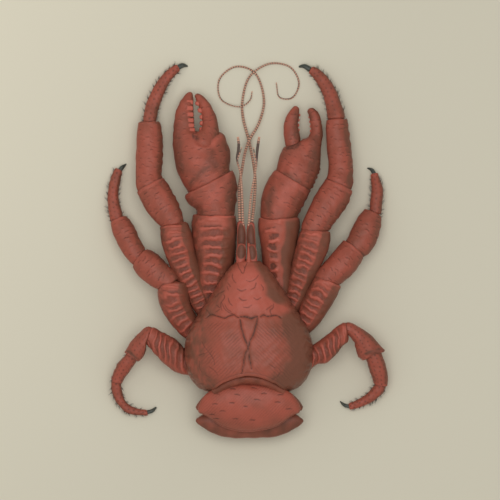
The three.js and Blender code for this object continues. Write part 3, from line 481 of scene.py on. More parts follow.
# Limbs, segments from base to end. Rows are [x, y, z, width] along the middle, or rungs
# [left x, left y, right x, right y, z, half height] from edge to edge
limbs = {
    "claw_left": {
        "merus": [
            [-36, -72, 21, 27], [-42, -42, 24, 35], [-38.5, -12, 26, 46], [-39.5, 14, 27, 53],
            [-40, 32, 27, 54.5], [-40, 44, 27, 51],
        ],
        "carpus": [
            [-62, 35, -15.5, 35, 27, 19], [-61.3, 48, -14.8, 50, 26.8, 20.5],
            [-68.5, 53.5, -13, 63, 26.5, 22.5], [-74.5, 61.5, -12.6, 78, 26, 24.5],
            [-73.5, 67.5, -19, 99.5, 25.2, 24],
        ],
        "palm": [
            [-66, 63, -17.5, 90, 25, 21], [-71, 69.7, -21.5, 96.5, 24.8, 23],
            [-80.5, 86.5, -20.5, 107, 24.3, 24], [-86.6, 102, -20.5, 117, 23.8, 23],
            [-88.7, 116, -23.8, 128, 23.3, 20], [-89.5, 126, -28, 138.5, 22.8, 17.5],
            [-89.6, 132, -37, 142, 22.2, 15.5], [-89.6, 136.5, -48, 142, 21.6, 14],
            [-89.5, 140, -57, 141.5, 21, 12.6], [-89.1, 145, -62.3, 143.5, 20.3, 11.5],
            [-87.8, 156, -63.6, 155, 18.8, 10.5], [-86, 167, -64.3, 166.5, 17.3, 9.2],
            [-81.4, 178, -64.6, 177.5, 16, 7.4], [-76.3, 184.5, -65.2, 184.5, 15, 5],
            [-71.2, 189.6, -66.5, 189.6, 14.5, 2.4],
        ],
        "finger": [
            [-55.5, 118, 33, 25], [-52.5, 129, 31.5, 27.5], [-46, 138.5, 28.6, 22.8],
            [-44.4, 146, 26, 20.6], [-44.8, 153.5, 23.3, 18.4], [-48.2, 166, 19.5, 15],
            [-52.6, 175.5, 17, 12.5], [-58.2, 183.2, 15.5, 8.8], [-62.4, 186.8, 14.5, 4.3],
        ],
    },
    "claw_right": {
        "merus": [
            [36, -72, 21, 25], [38.5, -41, 24, 30], [36, -14.5, 26, 36], [37.5, 12, 27, 45.5],
            [38, 31, 27, 50], [38, 40, 27, 47],
        ],
        "carpus": [
            [16, 33, 55, 29, 27, 17], [17.2, 63, 63.8, 49.2, 26.5, 20], [24.3, 83.5, 69.7, 60.5, 26, 21],
            [35.2, 98.5, 76.4, 73.6, 24.8, 20],
        ],
        "palm": [
            [30.5, 88, 70, 64, 25, 17], [34.9, 97.3, 75.7, 72.7, 24, 18.5],
            [37.7, 108.3, 84.7, 90.8, 23, 19], [41, 117, 87.5, 104, 22, 17],
            [45, 124, 88.5, 114, 21.3, 14.5], [56, 129, 88.8, 121, 20.6, 12.5],
            [66.5, 132.5, 89, 127, 20, 11], [73.5, 136.5, 90, 134, 18.8, 8.5],
            [76.2, 142, 90.8, 141.6, 17.8, 7], [76.2, 150, 89.8, 151, 17, 6.2],
            [74.2, 159.4, 86.2, 164.6, 15.8, 5.5], [71.5, 168, 77.5, 172, 14.8, 3],
        ],
        "finger": [
            [56.5, 117, 21.5, 14], [55, 128, 20.5, 18], [53, 140, 18.8, 18.8], [52.4, 151, 17.4, 17.4],
            [55.5, 162, 16, 14.5], [60, 172.5, 14.5, 6],
        ],
    },
    "leg_1_left": {
        "merus": [
            [-44, -86, 21, 20], [-61, -50.5, 25, 26.5], [-75.5, -17, 30, 33.5], [-85, 14.5, 33, 37],
            [-88, 32, 34, 33],
        ],
        "carpus": [
            [-88.5, 27, 34, 26], [-90.8, 34.5, 33.3, 29], [-97, 45, 32, 34.5], [-105.8, 58, 30.5, 38],
            [-112, 69.5, 28.7, 38], [-117.4, 79.5, 27, 34.5],
        ],
        "propodus": [
            [-113.5, 72, 27.5, 29], [-117.4, 79.5, 26.3, 33], [-118.9, 89, 25, 31],
            [-118.3, 104.3, 22.5, 31.5], [-117.3, 123.8, 19.8, 32.2], [-117.3, 138, 18.3, 30.5],
            [-117.7, 155, 17, 25.5],
        ],
        "dactyl": [
            [-117.8, 150, 17, 15], [-116.8, 158, 16, 16.5], [-114.2, 171, 13.8, 16],
            [-106.5, 191, 10.2, 15], [-97.5, 206, 7.8, 12.8], [-87.5, 216, 6, 10.5],
            [-81.8, 219.5, 5.3, 8],
        ],
        "nail": [
            [-84, 218.5, 5.3, 6.5], [-77, 221.5, 3.6, 5.5], [-71.5, 220.5, 0.9, 1.6],
        ],
    },
    "leg_1_right": {
        "merus": [
            [45, -86, 21, 20], [57.5, -55, 25, 25], [68, -24, 30, 32], [76.5, 0, 33, 37.5],
            [81, 15, 34, 38], [82.5, 24.5, 34, 34],
        ],
        "carpus": [
            [77.5, 14, 34, 27], [80.8, 27, 33.3, 31], [91.4, 45.6, 31, 36.5], [102.8, 63.4, 29, 38.5],
            [110.3, 79.5, 27, 34],
        ],
        "propodus": [
            [105.5, 73, 27.5, 28], [109.7, 80, 26.5, 32.5], [111.9, 93, 24, 30], [110.3, 118.6, 20, 29],
            [108, 142.9, 17.8, 27.8], [107.3, 158, 17, 24.5],
        ],
        "dactyl": [
            [107.2, 154, 17, 20], [106.7, 161, 16, 21.5], [104.4, 171, 14, 19], [101, 183.5, 11.8, 17.5],
            [95.2, 196, 9.3, 15.8], [85, 209.5, 7, 13], [75.5, 217, 5.5, 9.5],
        ],
        "nail": [
            [76, 216, 5.3, 6.5], [68.5, 220.5, 3.6, 5.5], [62, 220, 0.9, 1.6],
        ],
    },
    "leg_2_left": {
        "merus": [
            [-50, -107, 20, 21], [-71, -90, 25, 29], [-83, -72, 29, 33.5], [-89, -54, 32, 36.5],
            [-89, -38.5, 32, 34],
        ],
        "carpus": [
            [-90, -43, 32.5, 25], [-96, -36.5, 32, 28], [-105, -31, 30.5, 31.5], [-114.8, -22.5, 28, 34],
            [-123, -14.5, 26, 33], [-129.5, -9, 24.3, 26.5],
        ],
        "propodus": [
            [-127.5, -12.5, 24.5, 20], [-131, -8.5, 23.5, 23], [-137.4, 1, 22, 25.7],
            [-145, 15.5, 19, 27], [-150.8, 28, 16.5, 25], [-155, 38.5, 14.8, 18.5],
        ],
        "dactyl": [
            [-155, 33, 14.5, 14.5], [-157.5, 42, 13, 16], [-160.1, 52, 11.5, 15], [-161, 64, 9.5, 14],
            [-160, 76, 7.8, 13.2], [-157.8, 86.5, 6.3, 11.5], [-153.8, 97, 5.2, 8.5],
        ],
        "nail": [
            [-154, 94, 5.1, 5.5], [-150, 99, 3.4, 5], [-145, 103.5, 0.9, 1.6],
        ],
    },
    "leg_2_right": {
        "merus": [
            [53, -107, 20, 21], [71.5, -83, 25, 29], [81.5, -66, 29, 33], [91, -50, 32, 35],
            [97.5, -36, 32, 33],
        ],
        "carpus": [
            [92.5, -42, 32.5, 27], [97, -33, 31.8, 31], [112.7, -18, 28.5, 34], [123, -4.5, 25.5, 33.5],
            [128.8, 3.5, 24, 31],
        ],
        "propodus": [
            [126.5, -3, 24.5, 26], [131, 3, 23.3, 30], [137, 11, 21.5, 33], [141, 20, 19.7, 33.5],
            [146, 34, 17, 29], [151.3, 46, 15, 21.5],
        ],
        "dactyl": [
            [153.5, 42, 14.5, 13.5], [155, 60, 11.5, 14.5], [155.5, 73, 9, 14], [152.5, 92.5, 5.3, 8.5],
        ],
        "nail": [
            [153, 90, 5.1, 5.5], [149.5, 96, 3.4, 5], [144, 98.5, 0.9, 1.6],
        ],
    },
    "leg_3_left": {
        "merus": [
            [-52, -154, -57, -134, 19, 12], [-66, -150.5, -68, -127, 21, 13],
            [-84.4, -147.3, -82, -110, 24.5, 15], [-98.4, -137.7, -95.1, -101.6, 28, 14.8],
            [-109.1, -126.9, -103.7, -97.6, 31, 13], [-116.4, -118, -110.4, -93.3, 32.5, 11.5],
            [-121, -112, -115.7, -92.4, 33, 10],
        ],
        "carpus": [
            [-119.6, -110.8, -111.5, -94.7, 33, 7.5], [-121.2, -113.6, -117.7, -92.3, 32.7, 9.5],
            [-121.3, -120.7, -127.1, -97.3, 31.5, 10.5], [-123.1, -126, -135.1, -104.7, 29.5, 11],
            [-126.4, -130.3, -142.4, -115.3, 27, 10.8], [-132, -134, -147.7, -123.7, 25, 9.5],
        ],
        "propodus": [
            [-130.4, -130, -144.4, -121.5, 25.3, 7.2], [-132.7, -133.6, -148, -126.7, 24, 8.2],
            [-138, -141.3, -155.3, -135.3, 20.5, 8.8], [-143.7, -149.3, -159.1, -144, 17, 8],
            [-148.1, -155.7, -162.3, -152, 14.3, 7.2], [-151.1, -161.7, -164, -159, 12.5, 6.3],
        ],
        "dactyl": [
            [-157.5, -153.5, 13.5, 10], [-157.6, -160, 12, 12], [-156.8, -167.5, 10.7, 12.2],
            [-154, -177, 9.2, 11.2], [-149.1, -185.3, 7.9, 10.6], [-143.1, -190.7, 7, 10],
            [-135.1, -193.6, 6, 8.6], [-125.7, -194.9, 5, 7], [-119.2, -195.3, 4.4, 5.8],
        ],
        "nail": [
            [-121, -195, 4.4, 4.5], [-114.5, -193, 3.2, 4.5], [-109, -188.5, 0.9, 1.6],
        ],
    },
    "leg_3_right": {
        "merus": [
            [52, -129, 58, -154, 19, 12], [65.6, -119.5, 72, -146, 22, 13],
            [77.5, -114, 83.1, -137, 25, 12.5], [86.6, -108.7, 94.3, -136.3, 27.5, 12.3],
            [97.8, -100, 104.8, -127.3, 30.5, 12], [107.6, -91.3, 111.1, -118.9, 32.5, 11.5],
            [115.3, -87, 117.4, -112.6, 33.3, 10.8], [120.2, -86.6, 120.2, -109.1, 33.5, 10],
        ],
        "carpus": [
            [114, -89.5, 114, -99.5, 33.3, 6.5], [121.6, -86.6, 120.5, -101.7, 32.7, 8.5],
            [135.6, -92.7, 127.9, -109.5, 30.5, 10], [149.6, -103.5, 131.3, -121, 27.5, 11],
            [159.4, -114.7, 134.2, -128.7, 25, 10.8], [165.7, -121.6, 140, -132.8, 23.3, 8.5],
        ],
        "propodus": [
            [159.3, -118.5, 140.8, -121.7, 24.5, 7.3], [161.5, -125.9, 141.2, -127.6, 23, 8.5],
            [165.7, -135, 144.7, -137.5, 20.3, 9], [168, -147.6, 149.3, -150.4, 16.5, 8.2],
            [168.2, -158.8, 151.6, -159.5, 13.5, 7.3], [167, -165, 152.4, -163, 12, 6.5],
        ],
        "dactyl": [
            [159.8, -158.5, 12, 12], [158, -166, 10.8, 14.5], [153.5, -171.8, 9.5, 14],
            [145, -178.3, 7.5, 11.5], [133, -184.6, 5.8, 9], [121.5, -188, 4.3, 6.5],
        ],
        "nail": [
            [124, -188, 4.4, 4.5], [116.5, -186, 3.2, 4.5], [111, -181, 0.9, 1.6],
        ],
    },
}
flatness = 0.84   # height of a round segment as a share of its width
roundness = {   # start and end of each kind of segment
    "merus": (0.5, 0.15), "carpus": (0.3, 0.12), "propodus": (0.3, 0.2), "dactyl": (0.5, 0.4),
    "nail": (0.6, 0.8), "palm": (0.2, 0.8), "finger": (0.9, 0.8),
}
segmentOrder = {
    "claw": ["merus", "carpus", "palm", "finger"],
    "leg": ["merus", "carpus", "propodus", "dactyl", "nail"],
}


def limbSpine(limb, segment):
    stations = []
    for row in limbs[limb][segment]:
        if len(row) == 4:
            half = row[3] * flatness / 2
            stations.append([*row, half, half])
        else:
            left, right, (z, half) = np.array(row[:2]), np.array(row[2:4]), row[4:]
            width = np.linalg.norm(right - left)
            stations.append([*(left + right) / 2, z, width, half, half, *(right - left) / width])
    return spineOf(stations, *roundness[segment])


# Bands like roof tiles across the long inner segments: a dark lens with a ragged lower line
# between rounded paler ridges
def addTiles(grid, fields, pitch, seed, middle=-0.1, reach=0.52, depth=0.8):
    s, offset = grid["s"], grid["across"] / grid["radius"]
    draw = np.random.default_rng(seed)
    shift = draw.uniform(0, 1)
    wander = 1.5 * swell(grid["points"], 15, seed) + 0.5 * swell(grid["points"], 5, seed + 2)
    phase = (s + 2.4 * (offset - middle) ** 2 + wander) / pitch + shift
    turn = phase - np.floor(phase)
    row = np.floor(phase).astype(int) % rowDraws
    slide = draw.uniform(-0.12, 0.12, rowDraws)[row]
    wide = reach * draw.uniform(0.75, 1.2, rowDraws)[row]
    strong = draw.uniform(0.7, 1.1, rowDraws)[row]
    tall = draw.uniform(0.24, 0.35, rowDraws)[row]
    u = (offset - middle - slide) / wide
    share = s / s.max()
    band = (1 - smoothStep(0.8, 1.6, np.abs(u))) * smoothStep(0.02, 0.12, share)
    band = band * np.clip(0.85 + 0.4 * swell(grid["points"], 19, seed + 5), 0.3, 1.2)
    ridge = smoothStep(0.0, 0.12, turn) * (1 - smoothStep(0.30, 0.46, turn))
    oval = np.hypot(u, (turn - 0.72) / tall)
    lens = 1 - smoothStep(0.78, 1.08, oval + 0.12 * swell(grid["points"], 5, seed + 6))
    lens = lens * (1 - smoothStep(0.86, 0.90, share))
    clear = depth * strong * (1 - 0.92 * np.clip(fields["dusk"] * 1.2, 0, 1))
    fields["lift"] += band * 1.1 * ridge - 0.5 * lens
    fields["glow"] += band * ridge * clear
    fields["dusk"] += 0.30 * lens * clear
    rim = bell(oval - 1.0, 0.16) * smoothStep(0.75, 0.5, turn) * (share < 0.9)
    raiseTo(fields, "mark", clear * np.maximum(0.62 * lens, 0.85 * rim * (np.abs(u) < 1.1)))


# Short bowed lines in loose rows, each a low step
def addArcs(grid, fields, pitch, width, seed, chance=0.8):
    s, across, radius = grid["s"], grid["across"], grid["radius"]
    draw = np.random.default_rng(seed)
    length, reach = s.max(), radius.max() * 1.25
    row = 0
    at = pitch * 0.6
    while at < length - pitch * 0.4:
        column = -reach + width * 0.75 * (1 + row % 2)
        while column < reach:
            if draw.uniform() < chance:
                s0 = at + draw.uniform(-0.4, 0.4) * pitch
                a0 = column + draw.uniform(-0.3, 0.3) * width
                w0 = width * draw.uniform(0.5, 1.15)
                bow, lean = draw.uniform(-0.4, 1.6), draw.uniform(-0.9, 0.9)
                strength = draw.uniform(0.5, 1.0)
                near = (np.abs(s - s0) < 6) & (np.abs(across - a0) < w0)
                u = (across[near] - a0) / (w0 / 2)
                v = s[near] - s0 + bow * u * u + lean * u + 0.3 * np.sin(5 * u + s0)
                inside = 1 - smoothStep(0.7, 1.1, np.abs(u))
                ink = 0.95 * strength * inside * bell(v, 0.5)
                fields["mark"][near] = np.maximum(fields["mark"][near], ink)
                fields["lift"][near] += inside * (0.3 * bell(v + 1.5, 1.3) - 0.25 * bell(v, 0.8))
                fields["glow"][near] += 0.25 * inside * bell(v + 1.7, 1.0)
            column += width * 1.35
        row += 1
        at += pitch


# Dark raised dots in rows along a finger or dactyl
def addDots(grid, fields, pitch, rows, seed, size=0.85, jitter=0.8):
    s, across = grid["s"], grid["across"]
    draw = np.random.default_rng(seed)
    for k, row in enumerate(rows):
        at = pitch * (0.6 + 0.5 * (k % 2))
        while at < s.max() - pitch * 0.4:
            s0 = at + draw.uniform(-jitter, jitter)
            a0 = row * np.interp(at, s[:, 0], grid["radius"][:, 0])
            r0 = size * draw.uniform(0.75, 1.25)
            gap = np.hypot((s - s0) * 0.8, across - a0 - draw.uniform(-jitter, jitter))
            raiseTo(fields, "mark", 0.85 * bell(gap, r0))
            fields["lift"] += 0.35 * bell(gap, r0 * 1.3)
            at += pitch


# Knobs along one edge; side is 1 on the right and -1 on the left
def addKnobs(grid, fields, seed, side, pitch, height, start=0.1, end=0.95):
    s, across, radius = grid["s"], grid["across"], grid["radius"]
    draw = np.random.default_rng(seed)
    at = start * s.max() + pitch / 2
    while at < end * s.max():
        along = s - at - draw.uniform(-0.15, 0.15) * pitch
        gap = np.hypot(along, (across - side * radius * math.pi / 2) * 0.7)
        tall = height * draw.uniform(0.7, 1.2)
        fields["lift"] += tall * bell(gap, pitch * 0.33)
        fields["glow"] += 0.4 * bell(gap, pitch * 0.25)
        at += pitch


# Seam where the next segment leaves its socket, and where this one enters its own
def addSeams(grid, fields, nextSpine, lastSpine, nextShare=1.0, lastShare=1.0):
    if nextSpine is not None:
        gap = outside(nextSpine, grid["points"])
        raiseTo(fields, "mark", 0.62 * nextShare * bell(gap - 0.1, 0.75))
        fields["lift"] += 0.35 * bell(gap - 3.0, 1.6) - 0.7 * bell(gap, 1.0)
        fields["glow"] += 0.45 * nextShare * bell(gap - 2.8, 1.5)
    if lastSpine is not None:
        gap = outside(lastSpine, grid["points"])
        raiseTo(fields, "mark", 0.5 * lastShare * bell(gap, 0.7))
        fields["dusk"] += 0.3 * lastShare * bell(gap - 0.5, 2.0)


# Painted shade: brown towards the right side, away from the light, from the given share of the width,
# mottled painted shade on the left edge, and soft swells
def addShade(grid, fields, seed, start=0.5, strength=0.85, soft=0.11, left=0.0, veil=0.16):
    normals, points = grid["normals"], grid["points"]
    turn = np.sin(np.clip(grid["across"] / grid["radius"], -1.5, 1.5)) + 0.09 * swell(points, 16, seed)
    aim = np.abs(grid["spine"]["side"][aimSample, 0])
    above = smoothStep(-0.5, 0.0, normals[..., 2])
    # painted shade on the right side of the segment, away from the light
    fields["dusk"] += strength * smoothStep(start - soft, start + soft, turn) * aim
    mottle = np.clip(0.6 + 0.5 * swell(points, 9, seed + 4) + 0.3 * swell(points, 4, seed + 6), 0, 1)
    # mottled painted shade along the left edge
    leftEdgeShade = left * smoothStep(0.45, 0.75, -turn) * mottle * above
    fields["dusk"] += 0.6 * leftEdgeShade
    fields["mark"] += 0.4 * leftEdgeShade + veil * (0.75 + 0.5 * swell(points, 13, seed + 8)) * above
    # painted shade on faces turned to the right, away from the light
    east = smoothStep(0.35, 0.8, normals[..., 0] + 0.10 * swell(points, 22, seed + 1))
    raiseTo(fields, "dusk", 0.7 * east * smoothStep(-0.75, -0.2, normals[..., 2]))
    fields["dusk"] += 0.25 * np.clip(swell(points, 34, seed + 3), 0, 1)
    fields["lift"] += 0.28 * swell(points, 11, seed + 7) + 0.5 * swell(points, 30, seed + 9)
    fields["glow"] += 0.25 * smoothStep(-0.3, -0.8, normals[..., 2])


# What each kind of segment carries: the values go to addTiles, addShade, addArcs, addDots and addKnobs
legPatterns = {
    "merus": {"tiles": (8.0, -0.22, 0.62, 0.75), "dark": (0.40, 0.8, 0.06, 0.75, 0.06), "lobes": 1.8},
    "carpus": {"arcs": (7.0, 7.0), "knobs": (1, 9.5, 0.9), "dark": (0.6, 0.6)},
    "propodus": {"arcs": (7.0, 6.5), "knobs": (1, 10.5, 0.8), "dark": (0.62, 0.6)},
    "dactyl": {"dots": (6.0, (-0.75, -0.1, 0.55)), "dark": (0.65, 0.4)},
    "nail": {},
}
rearPatterns = {
    "merus": {"tiles": (8.2, 0.05, 1.05, 0.75), "dark": (0.8, 0.5), "lobes": 1.0},
    "carpus": {"dots": (5.0, (-0.9, -0.35, 0.2, 0.7)), "knobs": (1, 9, 0.5), "dark": (0.7, 0.4)},
    "propodus": {"dots": (5.5, (-0.8, -0.2, 0.4, 0.9)), "knobs": (1, 9, 0.4), "dark": (0.7, 0.5)},
}
clawPatterns = {
    "merus": {"tiles": (10.7, -0.1, 0.58, 0.9), "dark": (0.33, 0.78, 0.05, 0.7, 0.04), "lobes": 2.2},
    "carpus": {"arcs": (8.5, 8.0), "knobs": (1, 11, 1.0), "dark": (0.5, 0.5)},
    "palm": {"arcs": (8.5, 6.5), "dark": (0.6, 0.45)},
    "finger": {"arcs": (8.5, 5.0), "dark": (0.55, 0.5)},
}
singlePatterns = {
    "claw_right_merus": {
        "tiles": (11.5, -0.34, 0.30, 0.95), "dark": (0.27, 0.95, 0.10, 0.1, 0.04), "lobes": 2.2,
    },
    "claw_right_palm": {"arcs": (8.5, 6.5), "dark": (0.5, 0.6), "knobs": (1, 4.6, 1.5, 0.02, 0.33)},
}
# Dark and pale places of single segments, drawn in plan: field, strength, [width, points]. The brown and
# dark strokes along the sides and edges of the claw segments are painted shade
thumbHole = [6.4, [[-64.5, 137.2], [-61.8, 134.8], [-59, 134.2]]]
palmMiddle = [[-43, 117], [-42, 108], [-37, 98]]
palmSides = [[9.0, [[-25.5, 126], [-23, 116], [-24, 104]]], [8.0, [[-69, 79], [-58, 90], [-46, 101]]]]
rightPalmEdge = [[15.0, [[74, 84], [79.5, 102], [82, 119], [84, 136]]], [5.0, [[73.5, 167], [76.5, 157]]]]
rightCarpusEdge = [10.0, [[25.5, 42], [26, 58], [31, 74]]]
rightFingerEdge = [[60, 168], [58.3, 156], [57.3, 144], [59.5, 133]]
rearSocket = [[-147, -121.5], [-141, -123.5], [-135.5, -129.5], [-133.5, -133]]
planStrokes = {
    "claw_left_merus": [("glow", 0.8, [[13.0, [[-47, 39.5], [-38, 41], [-30, 38], [-28, 30]]]])],
    "claw_left_carpus": [
        ("glow", 0.55, [[11.0, [[-52, 50], [-40, 66], [-28, 84], [-20, 94]]]]),
        ("dusk", 0.45, [
            [12.0, [[-68, 60], [-60, 52], [-52, 43]]], [12.0, [[-18, 80], [-17, 62], [-20, 46]]],
        ]),
        ("mark", 0.30, [
            [14.0, [[-68, 62], [-60, 52], [-54, 43]]], [13.0, [[-18, 84], [-17, 62], [-20, 46]]],
        ]),
    ],
    "claw_left_palm": [
        ("mark", 0.85, [thumbHole]),
        ("dusk", 0.5, [[15.0, palmMiddle], *palmSides, [14.0, [[-84, 140], [-84, 118], [-78, 96]]]]),
        ("mark", 0.36, [
            [16.0, palmMiddle], *palmSides, [15.0, [[-84, 150], [-85, 130], [-84, 112], [-78, 94]]],
        ]),
        ("glow", 0.4, [[10.0, [[-46, 126], [-37, 132], [-31, 136]]], [16.0, [[-62, 122], [-60, 106]]]]),
    ],
    "claw_left_finger": [
        ("mark", 0.85, [thumbHole]),
        ("mark", 0.35, [[1.2, [[-66, 131], [-62.5, 125], [-57, 121.8], [-49, 122.8], [-43, 128.6]]]]),
    ],
    "claw_right_palm": [
        ("mark", 0.8, [[6.0, [[48, 122], [56, 125], [63, 126]]]]),
        ("dusk", 0.6, [*rightPalmEdge, [9.0, [[44, 92], [56, 84], [66, 76]]]]),
        ("mark", 0.30, rightPalmEdge),
        ("glow", 0.4, [[13.0, [[52, 100], [62, 116], [72, 124]]]]),
    ],
    "claw_right_carpus": [
        ("glow", 0.5, [[13.0, [[34, 48], [44, 66], [56, 78]]]]),
        ("dusk", 0.5, [rightCarpusEdge]),
        ("mark", 0.28, [rightCarpusEdge, [9.0, [[66, 72], [62, 60], [57, 52]]]]),
    ],
    "claw_right_finger": [
        ("dusk", 0.5, [[5.5, rightFingerEdge]]), ("mark", 0.25, [[5.0, rightFingerEdge]]),
    ],
    "leg_3_right_carpus": [
        ("dusk", 1.0, [[6.2, [[143, -124.3], [152.4, -122.6], [164, -120.8]]]]),
        ("mark", 0.45, [[5.6, [[142, -124.4], [152.4, -122.8], [164.5, -120.9]]]]),
    ],
    "leg_3_left_carpus": [("dusk", 1.0, [[5.5, rearSocket]]), ("mark", 0.35, [[4.8, rearSocket]])],
}


def patterned(limb, segment, seed, nextSpine, lastSpine, spacing):
    isClaw = limb.startswith("claw")
    pattern = (clawPatterns if isClaw else legPatterns)[segment]
    if limb.startswith("leg_3"):
        pattern = rearPatterns.get(segment, pattern)
    pattern = singlePatterns.get(f"{limb}_{segment}", pattern)
    grid = loft(limbSpine(limb, segment), spacing, lobes=pattern.get("lobes", 0.0))
    fields = blankFields(grid["points"])
    addShade(grid, fields, seed, *pattern.get("dark", ()))
    if "tiles" in pattern:
        pitch, *shape = pattern["tiles"]
        addTiles(grid, fields, pitch, seed + 1, *shape)
    if "arcs" in pattern:
        addArcs(grid, fields, *pattern["arcs"], seed + 2)
    if "dots" in pattern:
        addDots(grid, fields, *pattern["dots"], seed + 3)
    if "knobs" in pattern:
        addKnobs(grid, fields, seed + 4, *pattern["knobs"])
    for field, strength, lines in planStrokes.get(f"{limb}_{segment}", []):
        painted = strokes(grid["points"], lines, 1.2) * smoothStep(0.0, 0.4, grid["normals"][..., 2])
        fields[field] = np.maximum(fields[field], strength * painted)
    nextShare = 0.4 if segment == "palm" else 1.0      # the seam round a claw's finger is faint
    lastShare = 0.3 if segment == "finger" else 1.0
    addSeams(grid, fields, nextSpine, lastSpine, nextShare, lastShare)
    return dress(grid, fields)


def buildLimb(limb, seed):
    order = segmentOrder["claw" if limb.startswith("claw") else "leg"]
    spines = {segment: limbSpine(limb, segment) for segment in order}
    for i, segment in enumerate(order):
        nextSpine = spines[order[i + 1]] if i + 1 < len(order) else None
        lastSpine = spines[order[i - 1]] if i else None
        name, isNail = f"{limb}_{segment}", segment == "nail"
        spacing, material, slotName = (0.5, nailHorn, "nail") if isNail else (0.85, shellRed, "shell")
        part = patterned(limb, segment, seed + 10 * i, nextSpine, lastSpine, spacing)
        piece = buildMesh(f"{name}_shell", [part, *toothParts(name)], material)
        settle(piece, slotName, name)


# Teeth of the claws: [x, y, z] of each root, the way they point, and length, half width and half
# height of the first one; growth is each next one's change of size
teeth = {
    "claw_left_palm": {
        "roots": [[-68.5, 144, 28], [-69.7, 149.5, 27], [-70.4, 155.6, 25.8], [-71, 162.6, 24.4],
                  [-71.6, 170.2, 22.6], [-71.7, 177.2, 20.2]],
        "aim": [1, 0, -0.35], "size": [5.6, 2.65, 2.6],
        "growth": 0.035, "taper": 0.95, "squareness": 0.55,
    },
    "claw_left_finger": {
        "roots": [[-52.6, 144.5, 25.5], [-52.2, 152, 23.2], [-52.6, 159.4, 21.2], [-55.2, 167.6, 19.4],
                  [-58.2, 176, 17.2]],
        "aim": [-1, 0.08, 0.0], "size": [5.2, 4.3, 3.5],
        "growth": -0.04, "taper": 0.45, "squareness": 0.8,
    },
    "claw_right_palm": {
        "roots": [[77, 143, 18], [76.8, 148.5, 17.2], [76, 154, 16.5], [75, 159.5, 15.8]],
        "aim": [-1, 0.05, 0.0], "size": [2.0, 2.5, 2.4],
        "growth": -0.05, "taper": 0.5, "squareness": 0.9,
    },
    "claw_right_finger": {
        "roots": [[61, 144, 18.5], [60.8, 150, 17.5], [61.3, 156, 16.7], [62.3, 162, 16]],
        "aim": [1, 0.05, 0.0], "size": [1.9, 2.5, 2.4],
        "growth": -0.05, "taper": 0.5, "squareness": 0.9,
    },
}


def toothParts(name):
    row = teeth.get(name, {"roots": []})
    parts = []
    for number, root in enumerate(row["roots"]):
        length, half, tall = np.array(row["size"]) * (1 + row["growth"] * number)
        root, aim = np.array(root), np.array(row["aim"])
        stations = []
        for share, narrow in ((-0.4, 1.0), (0.5, 0.5 + row["taper"] / 2), (1.0, row["taper"])):
            place, height = root + aim * length * share, tall * narrow
            stations.append([*place, half * 2 * narrow, height, height])
        tooth = loft(spineOf(stations, 0.4, 0.5), 0.6, row["squareness"], capRings=4)
        fields = blankFields(tooth["points"])
        fields["glow"] += 1.0
        fields["mark"] += 0.5 * smoothStep(2.0, 0.5, tooth["s"])
        parts.append(dress(tooth, fields))
    return parts


firstSeed, seedStep = 100, 17
for number, limb in enumerate(limbs):
    buildLimb(limb, firstSeed + seedStep * number)
print("limbs built")

